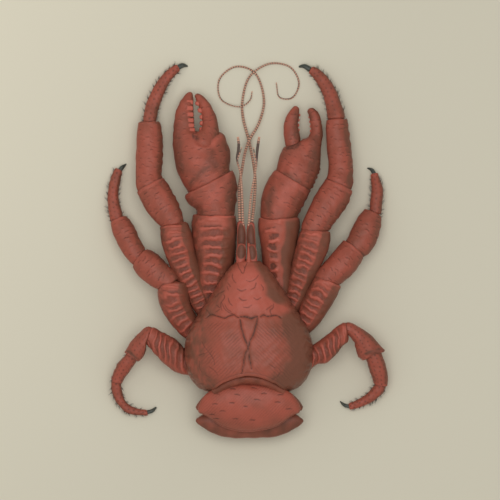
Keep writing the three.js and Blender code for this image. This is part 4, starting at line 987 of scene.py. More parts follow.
# Shield
shield = {
    "middleX": 1.7,
    "rows": [   # y, rim height, half width, rise of the back above the rim
        [-171, 28.5, 46, 27], [-165.5, 29, 58.5, 38], [-157, 29, 67.5, 45], [-149, 29.5, 72.5, 49],
        [-138, 30, 75.8, 51.5], [-114, 33, 76.5, 51], [-94, 34, 70.5, 48], [-74, 35.5, 58.5, 43.5],
        [-48, 38, 42, 36], [-33, 40, 31.5, 30], [-22, 42, 23.5, 24], [-16.5, 43, 17, 19],
    ],
    "squareness": 0.86,
    "notchY": -212,
    "notchRadius": 61.2,
    "spacing": 0.78,
    "columns": 396,
    "topShare": 0.72,
    "brow": [[1.7, -30, 58, 11, 4, 8], [1.7, -14, 57, 5.5, 3, 5], [1.7, 8.4, 52, 2.4, 1.5, 2]],
}
foldLines = 7   # the first lines are the fold across the back and the wedge behind it
shieldLines = [
    [1.0, [[-49.2, -81.0], [-45.5, -77.2], [-40.1, -77.6], [-33.7, -79.9], [-27.3, -81.3],
           [-21.9, -78.9], [-16.0, -77.6], [-12.8, -79.9], [-9.6, -81.0]]],
    [2.1, [[-8.5, -79.9], [-1.5, -79.9], [4.9, -81.6], [8.5, -80.5], [12.4, -79.9]]],
    [1.5, [[16.1, -79.9], [19.9, -77.6], [25.2, -79.3], [33.8, -78.0], [37.0, -78.9], [40.8, -81.0]]],
    [1.7, [[-8.8, -83.1], [-7.4, -91.7], [-4.8, -101.4], [-1.5, -109.9], [1.1, -116.4]]],
    [1.4, [[12.6, -81.5], [10.2, -90.6], [7.6, -100.3], [3.8, -107.8], [1.9, -116.4]]],
    [1.0, [[1.1, -116.4], [0.6, -119.6], [-2.1, -123.9], [-3.7, -132.4], [-5.0, -139.9],
           [-6.7, -148.5]]],
    [1.1, [[1.9, -116.4], [1.9, -122.8], [3.3, -132.4], [4.7, -138.9], [5.1, -143.1]]],
    [1.0, [[-11.2, -15.6], [-9.6, -22.1], [-4.8, -28.0], [-2.1, -19.9], [-0.5, -15.1]]],
    [0.8, [[-4.2, -18.9], [-2.8, -23.1]]],
    [1.0, [[-17.6, -28.5], [-17.1, -34.9], [-13.3, -39.8]]],
    [0.8, [[-23.0, -39.2], [-19.2, -44.6]]],
    [0.8, [[-24.0, -43.5], [-21.9, -48.9]]],
    [1.2, [[-11.7, -47.2], [-6.9, -49.2], [-1.5, -47.6]]],
    [1.1, [[-10.1, -57.4], [-5.8, -60.4], [-1.0, -60.1]]],
    [1.1, [[7.6, -57.4], [11.3, -59.4], [16.7, -57.4]]],
    [1.0, [[-4.8, -69.0], [1.7, -69.0], [5.7, -66.0]]],
    [1.0, [[-1.5, -37.1], [3.8, -38.1], [10.2, -34.4], [12.9, -30.6]]],
    [1.0, [[4.3, -47.8], [8.6, -45.1], [10.8, -39.2]]],
    [1.0, [[-23.0, -57.4], [-21.4, -62.8], [-17.6, -67.1]]],
    [0.9, [[16.7, -41.4], [19.3, -46.7], [18.3, -48.9]]],
    [1.2, [[-29.9, -64.4], [-27.3, -70.3], [-21.9, -75.1], [-17.6, -76.7]]],
    [0.9, [[-27.3, -64.4], [-24.0, -70.3], [-18.7, -74.6]]],
    [0.9, [[-28.3, -53.1], [-27.3, -56.4], [-31.5, -63.9], [-30.5, -72.4]]],
    [0.9, [[-39.0, -56.4], [-33.7, -52.1], [-27.3, -48.9]]],
    [0.9, [[-37.4, -66.0], [-32.6, -69.2], [-31.5, -66.0]]],
    [0.8, [[-39.0, -74.6], [-31.5, -70.3]]],
    [0.9, [[-49.2, -71.4], [-46.5, -74.6], [-45.5, -77.8]]],
    [1.2, [[31.7, -64.4], [31.1, -69.2], [27.9, -72.4], [29.0, -77.8]]],
    [1.0, [[22.6, -72.4], [26.3, -69.2], [30.1, -66.0]]],
    [0.75, [[-58.3, -126.5], [-54.0, -124.9], [-49.2, -123.9]]],
    [0.7, [[-54.0, -109.9], [-51.4, -115.3], [-48.1, -120.1], [-43.3, -126.0], [-39.6, -132.4],
           [-39.0, -137.8]]],
    [0.7, [[-45.5, -138.9], [-39.0, -144.2], [-34.8, -149.6]]],
    [0.75, [[-61.5, -161.4], [-56.2, -160.1], [-51.4, -160.3]]],
    [0.7, [[-57.3, -132.4], [-56.7, -141.0], [-55.1, -146.4]]],
    [0.65, [[-49.8, -150.1], [-43.3, -152.8]]],
    [0.7, [[25.2, -136.7], [30.6, -139.9], [34.9, -141.2]]],
    [0.7, [[39.2, -145.3], [36.0, -150.6], [29.5, -154.9]]],
]
# the brown of the flanks is painted shade, darker on the right side away from the light
rightFlank = [   # y and x where the brown flank begins
    [-167, 32.7], [-156, 28.5], [-140, 39.2], [-124, 46.7], [-102, 41.3], [-81, 42.4], [-70, 43.6],
    [-62, 30.5], [-56, 24.0], [-44, 21.5], [-34, 15.8], [-22, 11.5], [-14, 8.5],
]
leftFlank = [
    [-165, -34], [-140, -45], [-112, -49], [-84, -46], [-74, -32], [-56, -29], [-37, -22], [-18, -14],
]
rearWall = [   # share of the section's size, and how far it reaches in front of the margin
    [0.04, 4.5], [0.2, 4.5], [0.35, 4.5], [0.5, 4.5], [0.65, 4.4], [0.8, 4.2], [0.88, 3.6], [0.935, 2.4],
    [0.965, 1.2], [0.985, 0.4], [0.996, 0.1],
]


# Rings from the notch in the rear margin to the brow; the inside of the rear edge comes first
def shieldGrid():
    middleX = shield["middleX"]
    stations = [[middleX, y, rim, half * 2, rise, 2] for y, rim, half, rise in shield["rows"]]
    spine = spineOf(stations, 0.25, 0.3)
    yRun, rimRun = spine["path"][:, 1], spine["path"][:, 2]
    halfRun, riseRun = spine["sizes"][:, 0], spine["sizes"][:, 1]
    topCount = int(shield["columns"] * shield["topShare"])
    angle = np.concatenate([
        np.linspace(0, math.pi, topCount, endpoint=False),
        np.linspace(math.pi, 2 * math.pi, shield["columns"] - topCount, endpoint=False),
    ])
    cosine, sine = np.cos(angle), np.sin(angle)
    wide = np.sign(cosine) * np.abs(cosine) ** shield["squareness"]
    high = np.sign(sine) * np.abs(sine) ** shield["squareness"]
    # Where each lengthwise line meets the round notch of the rear margin
    trials = np.arange(400)
    trial = np.linspace(yRun[0], yRun[0] + 26, len(trials))
    x = np.interp(trial, yRun, halfRun)[:, None] * wide[None]
    inNotch = (trial[:, None] - shield["notchY"]) ** 2 + x ** 2 < shield["notchRadius"] ** 2
    rear = trial[np.clip(np.where(inNotch, trials[:, None], 0).max(0) + 1, 0, trials[-1])]
    front = yRun[-1]
    bodyRows = int((front - yRun[0]) / shield["spacing"])
    shares = np.linspace(0, 1, bodyRows)[:, None]
    y = rear[None] + (front - rear[None]) * shares
    frontCap = 0.3 * halfRun[-1]
    quarter = np.linspace(0, math.pi / 2, 7)[1:-1]
    wallShare, wallDip = np.array(rearWall).T
    size = np.concatenate([wallShare, np.ones(bodyRows), np.cos(quarter)])
    frontRows = front + frontCap * np.sin(quarter)[:, None] + 0 * y[:1]
    yAll = np.concatenate([rear[None] + wallDip[:, None], y, frontRows])
    dips = np.concatenate([wallDip, np.zeros(bodyRows + len(quarter))])[:, None]
    yRead = np.clip(yAll - dips, yRun[0], front)
    half, rise, rim = (np.interp(yRead, yRun, run) for run in (halfRun, riseRun, rimRun))
    reach = np.where(sine[None] > 0, rise, 2.0)
    points = np.stack([
        middleX + size[:, None] * half * wide[None], yAll, rim + size[:, None] * reach * high[None],
    ], axis=-1)
    grid = {"points": points, "half": half}
    grid["top"] = smoothStep(0.05, 0.3, high)[None] * np.ones_like(half)
    grid["poles"] = np.array([points[0].mean(0), points[-1].mean(0) + [0, 0.3, 0]])
    grid["normals"] = gridNormals(grid)
    return grid


# Painted shade on both flanks, brown with a ragged edge, darker on the right side away from the light,
# and the pale middle of the front half, a painted highlight on the raised top between them
def shadeFlanks(fields, points, gastric, top):
    px, py = points[..., 0], points[..., 1]
    marginY, marginX = splineAt(rightFlank, np.linspace(0, 1, 120)).T
    edge = np.interp(py, marginY, marginX)
    wave = 4 * swell(points, 18, 41) + 1.5 * swell(points, 7, 42)
    sharp = 1 - 0.6 * smoothStep(-76, -66, py)   # the edge is sharper in front of the fold
    right = smoothStep(-9 * sharp, 11 * sharp, px - edge + wave * sharp)
    # painted shade on the right flank, away from the light
    fields["dusk"] += 0.85 * right
    leftEdge = np.interp(py, *np.array(leftFlank).T)
    mottle = np.clip(0.72 + 0.45 * swell(points, 15, 47) + 0.3 * swell(points, 6, 48), 0.1, 1.0)
    left = smoothStep(-7 * sharp, 12 * sharp, leftEdge - px + wave * sharp)
    # mottled painted shade on the left flank
    fields["dusk"] += 0.72 * left * mottle
    # painted highlight on the top of the raised middle, outside the painted flank shade
    fields["glow"] += 0.8 * gastric * top * (1 - right) * (1 - 0.7 * left)
    fields["dusk"] += 0.25 * np.clip(swell(points, 24, 43), 0, 1) * top
    # A paler fleck between the two right flanks
    fleck = bell(np.hypot((px - 45) / 1.3, py + 70), 6)
    fields["dusk"] -= 0.6 * fleck
    fields["glow"] += 0.4 * fleck


def shieldFields(grid):
    points, top, middleX = grid["points"], grid["top"], shield["middleX"]
    fields = blankFields(points)
    px, py = points[..., 0], points[..., 1]
    fine = 0.72 * strokes(points, shieldLines[foldLines:])
    line = np.maximum(strokes(points, shieldLines[:foldLines]), fine) * top
    raiseTo(fields, "mark", line)
    # The fold and the wedge are real dents
    deep = strokes(points, [[w * 2.6, p] for w, p in shieldLines[:foldLines]], seed=5) * top
    fields["lift"] -= 1.3 * deep + 0.5 * line
    fields["dusk"] += 0.12 * deep
    # Lobes of the rear half swell on each side, the wedge between them lies lower
    offX = np.abs(px - middleX)
    lobe = bell(offX - 32, 24) * smoothStep(-84, -96, py) * smoothStep(-170, -150, py)
    fields["lift"] += 1.8 * lobe * top
    gastric = bell(px - middleX, 27) * smoothStep(-78, -66, py) * smoothStep(-14, -30, py)
    fields["lift"] += 1.6 * gastric * top
    fields["dusk"] += 0.16 * smoothStep(-78, -86, py) * top
    # Slanting scratches on both rear lobes
    slantLeft = np.sin((px - py) / 2.3 * math.pi + 0.8 * swell(points, 8, 31))
    slantRight = np.sin((px + py) / 2.3 * math.pi + 0.8 * swell(points, 8, 32))
    scratch = np.where(px < middleX, slantLeft, slantRight)
    onLobe = smoothStep(-84, -90, py) * smoothStep(-165, -140, py) * smoothStep(4, 12, offX)
    patches = np.clip(0.6 + 0.5 * swell(points, 26, 33), 0, 1)
    onLobe = onLobe * (1 - smoothStep(48, 60, offX)) * patches * top
    raiseTo(fields, "mark", 0.42 * onLobe * smoothStep(0.1, 0.9, scratch))
    fields["lift"] += 0.10 * onLobe * scratch
    shadeFlanks(fields, points, gastric, top)
    # Bead along the rear margin
    rearGap = np.hypot(px - middleX, py - shield["notchY"]) - shield["notchRadius"]
    fields["lift"] += 0.4 * bell(rearGap - 1.8, 1.3) * top
    raiseTo(fields, "mark", 0.4 * bell(rearGap - 3.6, 0.6) * top)
    # Fine puckers towards the sides
    fields["lift"] += 0.22 * swell(points, 7, 44) + 0.45 * swell(points, 26, 45)
    pucker = np.sin(py / 5.2 * math.pi + 2 * swell(points, 20, 46))
    rimPucker = smoothStep(0.75, 1.0, offX / np.maximum(grid["half"], 1)) * pucker
    fields["lift"] += 0.45 * rimPucker * top
    raiseTo(fields, "mark", 0.4 * smoothStep(0.6, 1, -rimPucker) * top)
    return fields


def buildShield():
    grid = shieldGrid()
    body = dress(grid, shieldFields(grid))
    brow = loft(spineOf(shield["brow"], 0.6, 0.8), 0.6)
    browFields = blankFields(brow["points"])
    browFields["glow"] += 0.3
    settle(buildMesh("shield_shell", [body, dress(brow, browFields)], shieldRed), "shell", "shield")


buildShield()
print("shield built")

# Tail: lens-shaped plates from side to side
tailPlates = {   # half width, x, y, reach in front and behind, their bends, z, rise, depth, tilt
    "tail_plate_2": (65.5, 2.5, -191, 32, 22, 3.3, 2, 33, 16, 14, 18),
    "tail_plate_3": (62.5, 2, -193.5, 36, 25.5, 3.6, 2, 41, 17, 8, 20),
    "tail_plate_4": (66, 3, -204, 21, 21.8, 2.5, 3.3, 23, 12, 11, 10),
    "tail_sac": (57, 2, -194, 33, 26, 2.5, 2.5, 15, 15, 17, 0),
}
firstPlate = {"inset": 3, "spread": 0.24, "z": 56, "width": 14, "rise": 14, "depth": 24}
tailDashes = [
    [-17.1, -166.5], [-36.5, -172.3], [-12.2, -173.3], [8.2, -165.1], [19.9, -171.9], [40.3, -173.3],
    [12.1, -179.6], [-38.4, -184.5], [-18.5, -183.5], [-2.5, -187.9], [36.4, -182.6], [-29.7, -193.2],
    [50.0, -190.8], [-42.3, -197.6], [-37.5, -202.5], [-14.2, -202.5], [6.2, -203.9],
]


def tailSpine(name):
    half, x, y, front, back, frontBend, backBend, z, rise, depth, tilt = tailPlates[name]
    stations = []
    for step in range(-16, 17):
        u = step / 16.4   # a little over the last step, so that the ends keep some width
        ahead = front * (1 - abs(u) ** frontBend)
        behind = back * (1 - abs(u) ** backBend)
        fat = (1 - u * u) ** 0.45
        place = [x + half * u, y + (ahead - behind) / 2, z]
        stations.append([*place, ahead + behind, rise * fat, depth * fat])
    return spineOf(stations, 0.3, 0.3, math.radians(tilt))


# Dashes, a groove and a bead at the rear edge, and fine hatching on the broad plate
def markBroadPlate(fields, points, turned, top):
    draw = np.random.default_rng(9)
    dashes = []
    for x, y in tailDashes:
        bend = draw.uniform(0.3, 1.0)
        dashes.append([1.15, [[x - 3.4, y - 0.2], [x, y + 0.3 * bend], [x + 3.4, y - bend * 0.6]]])
    line = strokes(points, dashes, seed=71) * top
    raiseTo(fields, "mark", 0.85 * line)
    fields["lift"] -= 0.45 * line
    raiseTo(fields, "mark", 0.55 * bell(turned - 1.12, 0.035))
    fields["lift"] += 0.8 * bell(turned - 1.25, 0.10)
    fields["dusk"] += 0.22 * np.clip(swell(points, 22, 63), 0, 1)
    hatch = np.sin((points[..., 0] - points[..., 1]) / 1.9 * math.pi + 0.8 * swell(points, 8, 68))
    hatch = smoothStep(0.2, 0.9, hatch) * np.clip(0.5 + 0.5 * swell(points, 18, 69), 0, 1) * top
    raiseTo(fields, "mark", 0.3 * hatch)
    fields["dusk"] += 0.2 * smoothStep(-0.2, 1.0, turned)
    fields["glow"] += 0.12 * top


def buildTail():
    for name in tailPlates:
        grid = loft(tailSpine(name), 0.85, capRings=3)
        fields = blankFields(grid["points"])
        points, normals = grid["points"], grid["normals"]
        turned = grid["across"] / grid["radius"]
        top = smoothStep(0.0, 0.35, normals[..., 2])
        fields["lift"] += 0.3 * swell(points, 12, 61) + 0.5 * swell(points, 30, 62)
        if name == "tail_plate_3":
            markBroadPlate(fields, points, turned, top)
            material, slotName = shieldRed, "shell"
        elif name == "tail_sac":
            wrinkle = np.sin(points[..., 1] / 2.6 + 2.2 * swell(points, 22, 64))
            wrinkle = wrinkle * smoothStep(0.2, -0.3, normals[..., 2])
            fields["lift"] += 0.7 * wrinkle
            raiseTo(fields, "mark", 0.3 * smoothStep(0.5, 1, -wrinkle))
            material, slotName = bellySkin, "belly"
        else:
            fields["dusk"] += 0.35 + 0.25 * swell(points, 16, 65)
            fields["glow"] += 0.5 * bell(turned - 1.35, 0.15)
            material, slotName = brownAndShadedShell, "shell_dark"
        # painted shade on faces turned to the right, away from the light
        fields["dusk"] += 0.4 * smoothStep(0.35, 0.9, normals[..., 0])
        pieceName = "tail_sac_skin" if name == "tail_sac" else f"{name}_shell"
        settle(buildMesh(pieceName, [dress(grid, fields)], material), slotName, name)
    # The first plate is a band that follows the notch of the shield
    radius = shield["notchRadius"] - firstPlate["inset"]
    stations = []
    for step in np.linspace(-3, 3, 25):
        angle = step * firstPlate["spread"]
        stations.append([
            shield["middleX"] + radius * math.sin(angle), shield["notchY"] + radius * math.cos(angle),
            firstPlate["z"] - 1.6 * step * step, firstPlate["width"], firstPlate["rise"],
            firstPlate["depth"] - step * step,
        ])
    grid = loft(spineOf(stations, 0.5, 0.5), 0.8)
    fields = blankFields(grid["points"])
    # painted shade: the plate lies in the recess under the shield's rear margin
    fields["dusk"] += 0.25 + 0.2 * swell(grid["points"], 14, 66)
    fields["lift"] += 0.35 * swell(grid["points"], 10, 67)
    piece = buildMesh("tail_plate_1_shell", [dress(grid, fields)], brownAndShadedShell)
    settle(piece, "shell_dark", "tail_plate_1")


buildTail()
print("tail built")

# Trunk below the shield
trunk = {
    "rows": [[-160, 46], [-142, 65], [-108, 60], [-84, 52], [-68, 44], [-54, 26]],   # y, half width
    "top": 36,
    "grooveY": [-138, -116, -96, -78, -64],
}


def buildTrunk():
    middleX, z = shield["middleX"], trunk["top"] / 2
    stations = [[middleX, y, z, half * 2, z, z + 1.5] for y, half in trunk["rows"]]
    grid = loft(spineOf(stations, 0.25, 0.4), 1.1, squareness=0.6)
    points = grid["points"]
    points[..., 2] = np.maximum(points[..., 2], 0)
    fields = blankFields(points)
    below = smoothStep(0.2, -0.4, grid["normals"][..., 2])
    for y in trunk["grooveY"]:
        gap = points[..., 1] - y - 0.0022 * (points[..., 0] - middleX) ** 2
        raiseTo(fields, "mark", 0.6 * bell(gap, 1.0))
        fields["lift"] -= 1.0 * bell(gap, 1.8)
    middleGap = points[..., 0] - middleX
    raiseTo(fields, "mark", 0.5 * bell(middleGap, 0.9) * below)
    fields["lift"] -= 0.8 * bell(middleGap, 2.0) * below
    fields["lift"] += 0.4 * swell(points, 14, 81)
    grid = dress(grid, fields)
    grid["points"][..., 2] = np.maximum(grid["points"][..., 2], 0)
    settle(buildMesh("trunk_skin", [grid], bellySkin), "belly", "trunk")


buildTrunk()
print("trunk built")

# Head pieces: [x, y, z, width]
headPieces = {
    "eyestalk_left": [[-8, -19, 51, 10], [-7.4, -5, 52, 12], [-6.7, 8, 51.5, 9.5]],
    "eyestalk_right": [[7, -20, 51, 10], [5.8, -6, 52, 12], [4.6, 7, 51.5, 9.5]],
    "feeler_base_left": [[-7, -26, 40, 9], [-7, 2, 40.5, 10.5], [-7, 20.5, 40, 10.5], [-8, 35, 38, 8]],
    "feeler_base_right": [[5.2, -26, 40, 9], [5, 2, 40.5, 10.5], [4.3, 19, 40, 10.5], [4.5, 33.5, 38, 8]],
    "jaw_foot_left": [[-8, -62, 24, 10], [-8, -42, 22, 10], [-6, -24, 18, 9], [-5, -8, 14, 5]],
    "jaw_foot_right": [[10, -62, 24, 10], [10, -42, 22, 10], [8, -24, 18, 9], [6.5, -8, 14, 5]],
}


def buildHead():
    for number, (name, rows) in enumerate(headPieces.items()):
        stations = [[*row, row[3] * 0.475, row[3] * 0.475] for row in rows]
        grid = loft(spineOf(stations, 0.7, 0.7), 0.45)
        points = grid["points"]
        fields = blankFields(points)
        fields["lift"] += 0.12 * swell(points, 5, 91 + number)
        share = grid["s"] / grid["s"].max()
        if name.startswith("jaw"):
            for at in (0.28, 0.52, 0.76):
                raiseTo(fields, "mark", 0.7 * bell(share - at, 0.018))
                fields["lift"] -= 0.5 * bell(share - at, 0.03)
            material, slotName = shellRed, "shell"
        else:
            low, high = (0.3, 0.98) if name.startswith("eyestalk") else (0.42, 0.97)
            along = (share - (low + high) / 2) / ((high - low) / 2)
            oval = np.hypot(along, grid["across"] / (grid["radius"] * 1.2))
            inside = 1 - smoothStep(0.86, 1.02, oval)
            fields["dusk"] += 0.8 * inside
            fields["mark"] += 0.12 * inside
            fields["glow"] += 0.8 * (1 - inside)
            fields["lift"] -= 0.35 * inside
            material, slotName = brownAndShadedShell, "shell_dark"
        settle(buildMesh(f"{name}_shell", [dress(grid, fields)], material), slotName, name)


buildHead()
print("head built")

# Feelers: rings on a core, laid along a curve by Geometry Nodes
whips = {
    "feeler_left": [
        [-8.5, 29, 38.5, 4], [-9.5, 75.5, 27, 3.8], [-6, 98.5, 20, 3.7], [-2.5, 117.5, 14.5, 3.6],
        [2, 131, 10, 3.6], [14, 152.5, 4, 3.3], [20, 180, 1.6, 3], [8.5, 213, 1.4, 2.6],
        [-14, 220, 1.2, 2.3], [-33.5, 204.5, 1.1, 2], [-31.5, 181, 1.4, 1.8], [-8.5, 172, 4.6, 1.6],
        [3.5, 180, 1.8, 1.5], [5.5, 188.5, 0.8, 1.3],
    ],
    "feeler_right": [
        [5, 28, 38.5, 4], [8.5, 60.5, 29, 3.9], [9.5, 84, 22, 3.7], [7.5, 103, 14.5, 3.6],
        [2, 131, 5, 3.6], [-5, 158.5, 2, 3.3], [-6, 177, 1.6, 3], [0, 203, 2.6, 2.7],
        [8.5, 214, 5.4, 2.6], [29, 224, 1.8, 2.4], [52, 219, 1.2, 2.2], [62, 200, 1.1, 2],
        [53.5, 182.5, 1, 1.8], [38.5, 183.5, 0.9, 1.5], [35, 199, 0.8, 1.3],
    ],
    "small_feeler_left": [
        [-5, 29, 41, 3], [-6.4, 67, 38, 2.8], [-8.3, 92.5, 34.5, 2.6], [-11.4, 104, 32.6, 2.6],
        [-12.3, 110, 31.5, 3.2], [-10.8, 119, 30.3, 3.7], [-10.3, 127, 29.5, 3.6], [-11, 133.5, 29, 3],
    ],
    "small_feeler_right": [
        [1.6, 29, 41, 3], [4.6, 65, 38, 2.8], [9.4, 92.5, 34.5, 2.6], [10.9, 105.5, 32.6, 2.9],
        [11.9, 118.5, 30.8, 3.6], [13.2, 129, 29.5, 3.7], [14, 133.5, 29, 3],
    ],
}
whipBranches = {
    "small_feeler_left": [[-12, 108.5, 31.8, 2.2], [-9.6, 115, 32.2, 1.8], [-7.2, 121.5, 32.2, 1.2]],
    "small_feeler_right": [[10.8, 105, 32.8, 2.2], [9.2, 112.5, 33, 1.8], [7.8, 121, 32.6, 1.2]],
}


def geometryTree(name, *inputs):
    shape = ("Geometry", "NodeSocketGeometry")
    return newTree(name, "GeometryNodeTree", [shape, *inputs, ("Finish", "NodeSocketMaterial")], [shape])


# A copy of the part at each point, its long side along the aim, as real mesh
def instances(tree, points, part, aim, size):
    turn = tree.nodes.new("FunctionNodeAlignRotationToVector")
    turn.axis = "Z"
    feed(tree, turn, {"Vector": aim})
    scale = addNode(tree, "ShaderNodeCombineXYZ", dict(zip("XYZ", size)))
    place = addNode(tree, "GeometryNodeInstanceOnPoints", {
        "Points": points, "Instance": part, "Rotation": turn.outputs[0], "Scale": scale.outputs[0]})
    return addNode(tree, "GeometryNodeRealizeInstances", {"Geometry": place.outputs[0]}).outputs[0]


def paintedOutput(tree, sink, shape, finish):
    paint = addNode(tree, "GeometryNodeSetMaterial", {"Geometry": shape, "Material": finish})
    feed(tree, sink, {"Geometry": paint.outputs[0]})
    return tree


def storeNode(tree, shape, name, value):
    inputs = {"Geometry": shape, "Name": name, "Value": value}
    return addNode(tree, "GeometryNodeStoreNamedAttribute", inputs).outputs[0]


def readNode(tree, name, kind="FLOAT"):
    reader = tree.nodes.new("GeometryNodeInputNamedAttribute")
    reader.data_type = kind
    return feed(tree, reader, {"Name": name}).outputs["Attribute"]


def makeRingTree():
    number = "NodeSocketFloat"
    tree, given, sink = geometryTree(
        "ringedFeeler", ("Ring Length", number, 0.0024), ("Ring Share", number, 0.8),
        ("Core Share", number, 0.8), ("Tip Dark", number, 0.0), ("Sides", "NodeSocketInt", 10))
    spot = tree.nodes.new("GeometryNodeSplineParameter").outputs["Factor"]
    tip = mathNode(tree, "MULTIPLY", rangeNode(tree, spot, 0.68, 0.76), given["Tip Dark"])
    tip = mathNode(tree, "MULTIPLY", tip, rangeNode(tree, spot, 0.93, 0.96, 1.0, 0.0))
    resample = tree.nodes.new("GeometryNodeResampleCurve")
    resample.mode = "LENGTH"
    line = feed(tree, resample, {
        "Curve": storeNode(tree, given["Geometry"], "dusk", tip), "Length": given["Ring Length"],
    }).outputs["Curve"]
    ring = addNode(tree, "GeometryNodeMeshCone", {
        "Radius Top": 1.0, "Radius Bottom": 0.86, "Depth": 1.0, "Side Segments": 2,
        "Vertices": given["Sides"]})
    radius = tree.nodes.new("GeometryNodeInputRadius").outputs[0]
    tangent = tree.nodes.new("GeometryNodeInputTangent").outputs[0]
    ringHeight = mathNode(tree, "MULTIPLY", given["Ring Length"], given["Ring Share"])
    rings = instances(tree, line, ring.outputs["Mesh"], tangent, (radius, radius, ringHeight))
    profile = addNode(tree, "GeometryNodeCurvePrimitiveCircle", {
        "Resolution": given["Sides"], "Radius": given["Core Share"]})
    core = addNode(tree, "GeometryNodeCurveToMesh", {
        "Curve": line, "Profile Curve": profile.outputs["Curve"], "Fill Caps": True})
    if "Scale" in core.inputs:
        feed(tree, core, {"Scale": radius})
    join = tree.nodes.new("GeometryNodeJoinGeometry")
    for shape in (rings, storeNode(tree, core.outputs["Mesh"], "dusk", 1.0)):
        feed(tree, join, {"Geometry": shape})
    return paintedOutput(tree, sink, join.outputs[0], given["Finish"])


# Runs a node tree on an object, keeps the result as a plain mesh and removes the object
def freeze(holder, tree, settings, name, material):
    modifier = holder.modifiers.new("grow", "NODES")
    modifier.node_group = tree
    ids = {item.name: item.identifier for item in tree.interface.items_tree if item.in_out == "INPUT"}
    for label, value in {**settings, "Finish": material}.items():
        modifier[ids[label]] = value
    graph = bpy.context.evaluated_depsgraph_get()
    graph.update()
    mesh = bpy.data.meshes.new_from_object(holder.evaluated_get(graph))
    mesh.name = name
    bpy.data.objects.remove(holder)
    return addObject(name, mesh, None if mesh.materials else material)


def whipCurve(name, lines):
    data = bpy.data.curves.new(name, "CURVE")
    data.dimensions = "3D"
    for rows in lines:
        spine = spineOf([[x, y, z, w, w / 2, w / 2] for x, y, z, w in rows])
        s = np.linspace(0, spine["length"], max(12, int(spine["length"] / 1.5)))
        path, sizes = alongSpine(spine, s, "path", "sizes")
        spline = data.splines.new("POLY")
        spline.points.add(len(s) - 1)
        spline.points.foreach_set("co", np.column_stack([toMetres(path), np.ones(len(s))]).ravel())
        spline.points.foreach_set("radius", sizes[:, 0] * mm)
    return addObject(name, data)


ringTree = makeRingTree()
for name, rows in whips.items():
    small = name.startswith("small")
    lines = [rows] + ([whipBranches[name]] if small else [])
    settings = {"Ring Length": 0.003, "Ring Share": 0.75 if small else 0.66, "Core Share": 0.88,
                "Tip Dark": 1.0 if small else 0.0, "Sides": 10}
    piece = freeze(whipCurve(name + "_path", lines), ringTree, settings, name + "_rings", feelerTan)
    settle(piece, "feeler", name)
print("feelers built")

# Bristles: hairs in tufts on the edges of the leg ends, by Geometry Nodes on loose points
bristles = {
    "thickness": 0.0002,
    "seed": 7,
    "edges": (   # segment, spacing in mm, hairs in a tuft, length in mm, sides
        ("dactyl", 6.5, 8, 5.4, (-1, 1)), ("propodus", 9.5, 5, 3.2, (1,)), ("carpus", 11, 4, 2.6, (1,)),
    ),
}


def makeBristleTree():
    thickness = ("Thickness", "NodeSocketFloat", bristles["thickness"])
    tree, given, sink = geometryTree("bristleTufts", thickness)
    hair = addNode(tree, "GeometryNodeMeshCone", {
        "Vertices": 4, "Side Segments": 2, "Radius Top": 0.15, "Radius Bottom": 1.0, "Depth": 1.0})
    size = (given["Thickness"], given["Thickness"], readNode(tree, "long"))
    aim = readNode(tree, "aim", "FLOAT_VECTOR")
    hairs = instances(tree, given["Geometry"], hair.outputs["Mesh"], aim, size)
    return paintedOutput(tree, sink, hairs, given["Finish"])


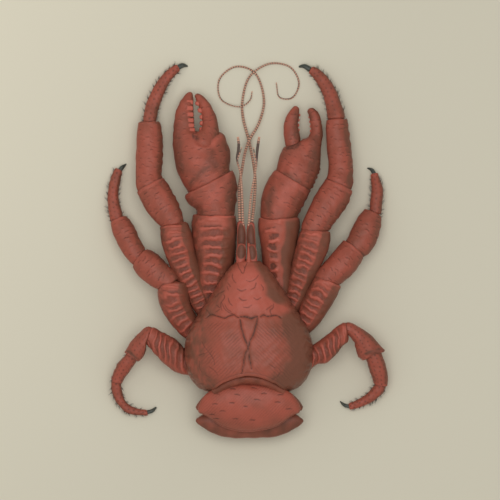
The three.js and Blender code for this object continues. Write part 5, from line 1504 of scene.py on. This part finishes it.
def bristleSites():
    draw = np.random.default_rng(bristles["seed"])
    places, aims, lengths = [], [], []
    sunk = 0.97   # roots lie this share of the way to the surface
    for limb in limbs:
        if limb.startswith("claw"):
            continue
        for segment, pitch, hairs, long, edges in bristles["edges"]:
            spine = limbSpine(limb, segment)
            for edge in edges:
                at = pitch * draw.uniform(0.3, 0.8)
                while at < spine["length"] * 0.97:
                    tuft = draw.uniform(0.6, 1.2)
                    lean = draw.uniform(0.5, 1.4)
                    for _ in range(hairs):
                        s = np.array([at + draw.normal() * 0.9])
                        found = alongSpine(spine, s, "path", "sizes", "side", "lift", "tangent")
                        place, size, side, lift, tangent = (rows[0] for rows in found)
                        angle = draw.uniform(-0.4, 0.5)
                        out = edge * math.cos(angle) * side + math.sin(angle) * lift
                        root = place + edge * math.cos(angle) * size[0] * side * sunk
                        root = root + math.sin(angle) * size[1] * lift * sunk
                        aim = out + tangent * lean + draw.normal(size=3) * 0.16
                        places.append(root)
                        aims.append(aim / np.linalg.norm(aim))
                        lengths.append(long * tuft * draw.uniform(0.4, 1.1) * mm)
                    at += pitch * draw.uniform(0.6, 1.4)
    return np.array(places), np.array(aims), np.array(lengths)


places, aims, lengths = bristleSites()
siteMesh = bpy.data.meshes.new("bristleSites")
siteMesh.from_pydata(toMetres(places).tolist(), [], [])
aimField = siteMesh.attributes.new("aim", "FLOAT_VECTOR", "POINT")
aimField.data.foreach_set("vector", aims.astype(np.float32).ravel())
storeField(siteMesh, "long", lengths)
siteObject = addObject("bristleSites", siteMesh)
thickness = {"Thickness": bristles["thickness"]}
settle(freeze(siteObject, makeBristleTree(), thickness, "leg_bristles", hairBrown), "nail")
print("bristles built,", len(places))

# Floor, light and camera
half = view["floorHalf"]
floorMesh = bpy.data.meshes.new("floor")
floorCorners = [(-half, -half, 0), (half, -half, 0), (half, half, 0), (-half, half, 0)]
floorMesh.from_pydata(floorCorners, [], [(0, 1, 2, 3)])
floorPaint, floorTree, floorShader = newMaterial("paleFloor")
floorFinish = {"Base Color": view["floorColor"], "Roughness": 0.9, "Specular IOR Level": 0.1}
feed(floorTree, floorShader, floorFinish)
addObject("floor", floorMesh, floorPaint)

for name, place, size, power, color in lights:
    data = bpy.data.lights.new(name, "AREA")
    data.shape = "DISK"
    data.size = size
    data.energy = power
    data.color = color
    lamp = addObject(name, data)
    lamp.location = place
    x, y, z = place
    lamp.rotation_euler = (math.atan2(math.hypot(x, y), z), 0, math.atan2(-x, y))   # towards the crab

world = bpy.data.worlds.new("softRoom")
world.use_nodes = True
background = world.node_tree.nodes["Background"]
feed(world.node_tree, background, {"Color": (1, 1, 1, 1), "Strength": view["ambient"]})
bpy.context.scene.world = world
bpy.context.scene.view_settings.view_transform = "Standard"

cameraData = bpy.data.cameras.new("camera")
cameraData.type = "ORTHO"
cameraData.ortho_scale = view["width"]
camera = addObject("camera", cameraData)
camera.location = (view["middle"][0] * mm, view["middle"][1] * mm, view["height"])
bpy.context.scene.camera = camera
print("camera and lights placed")
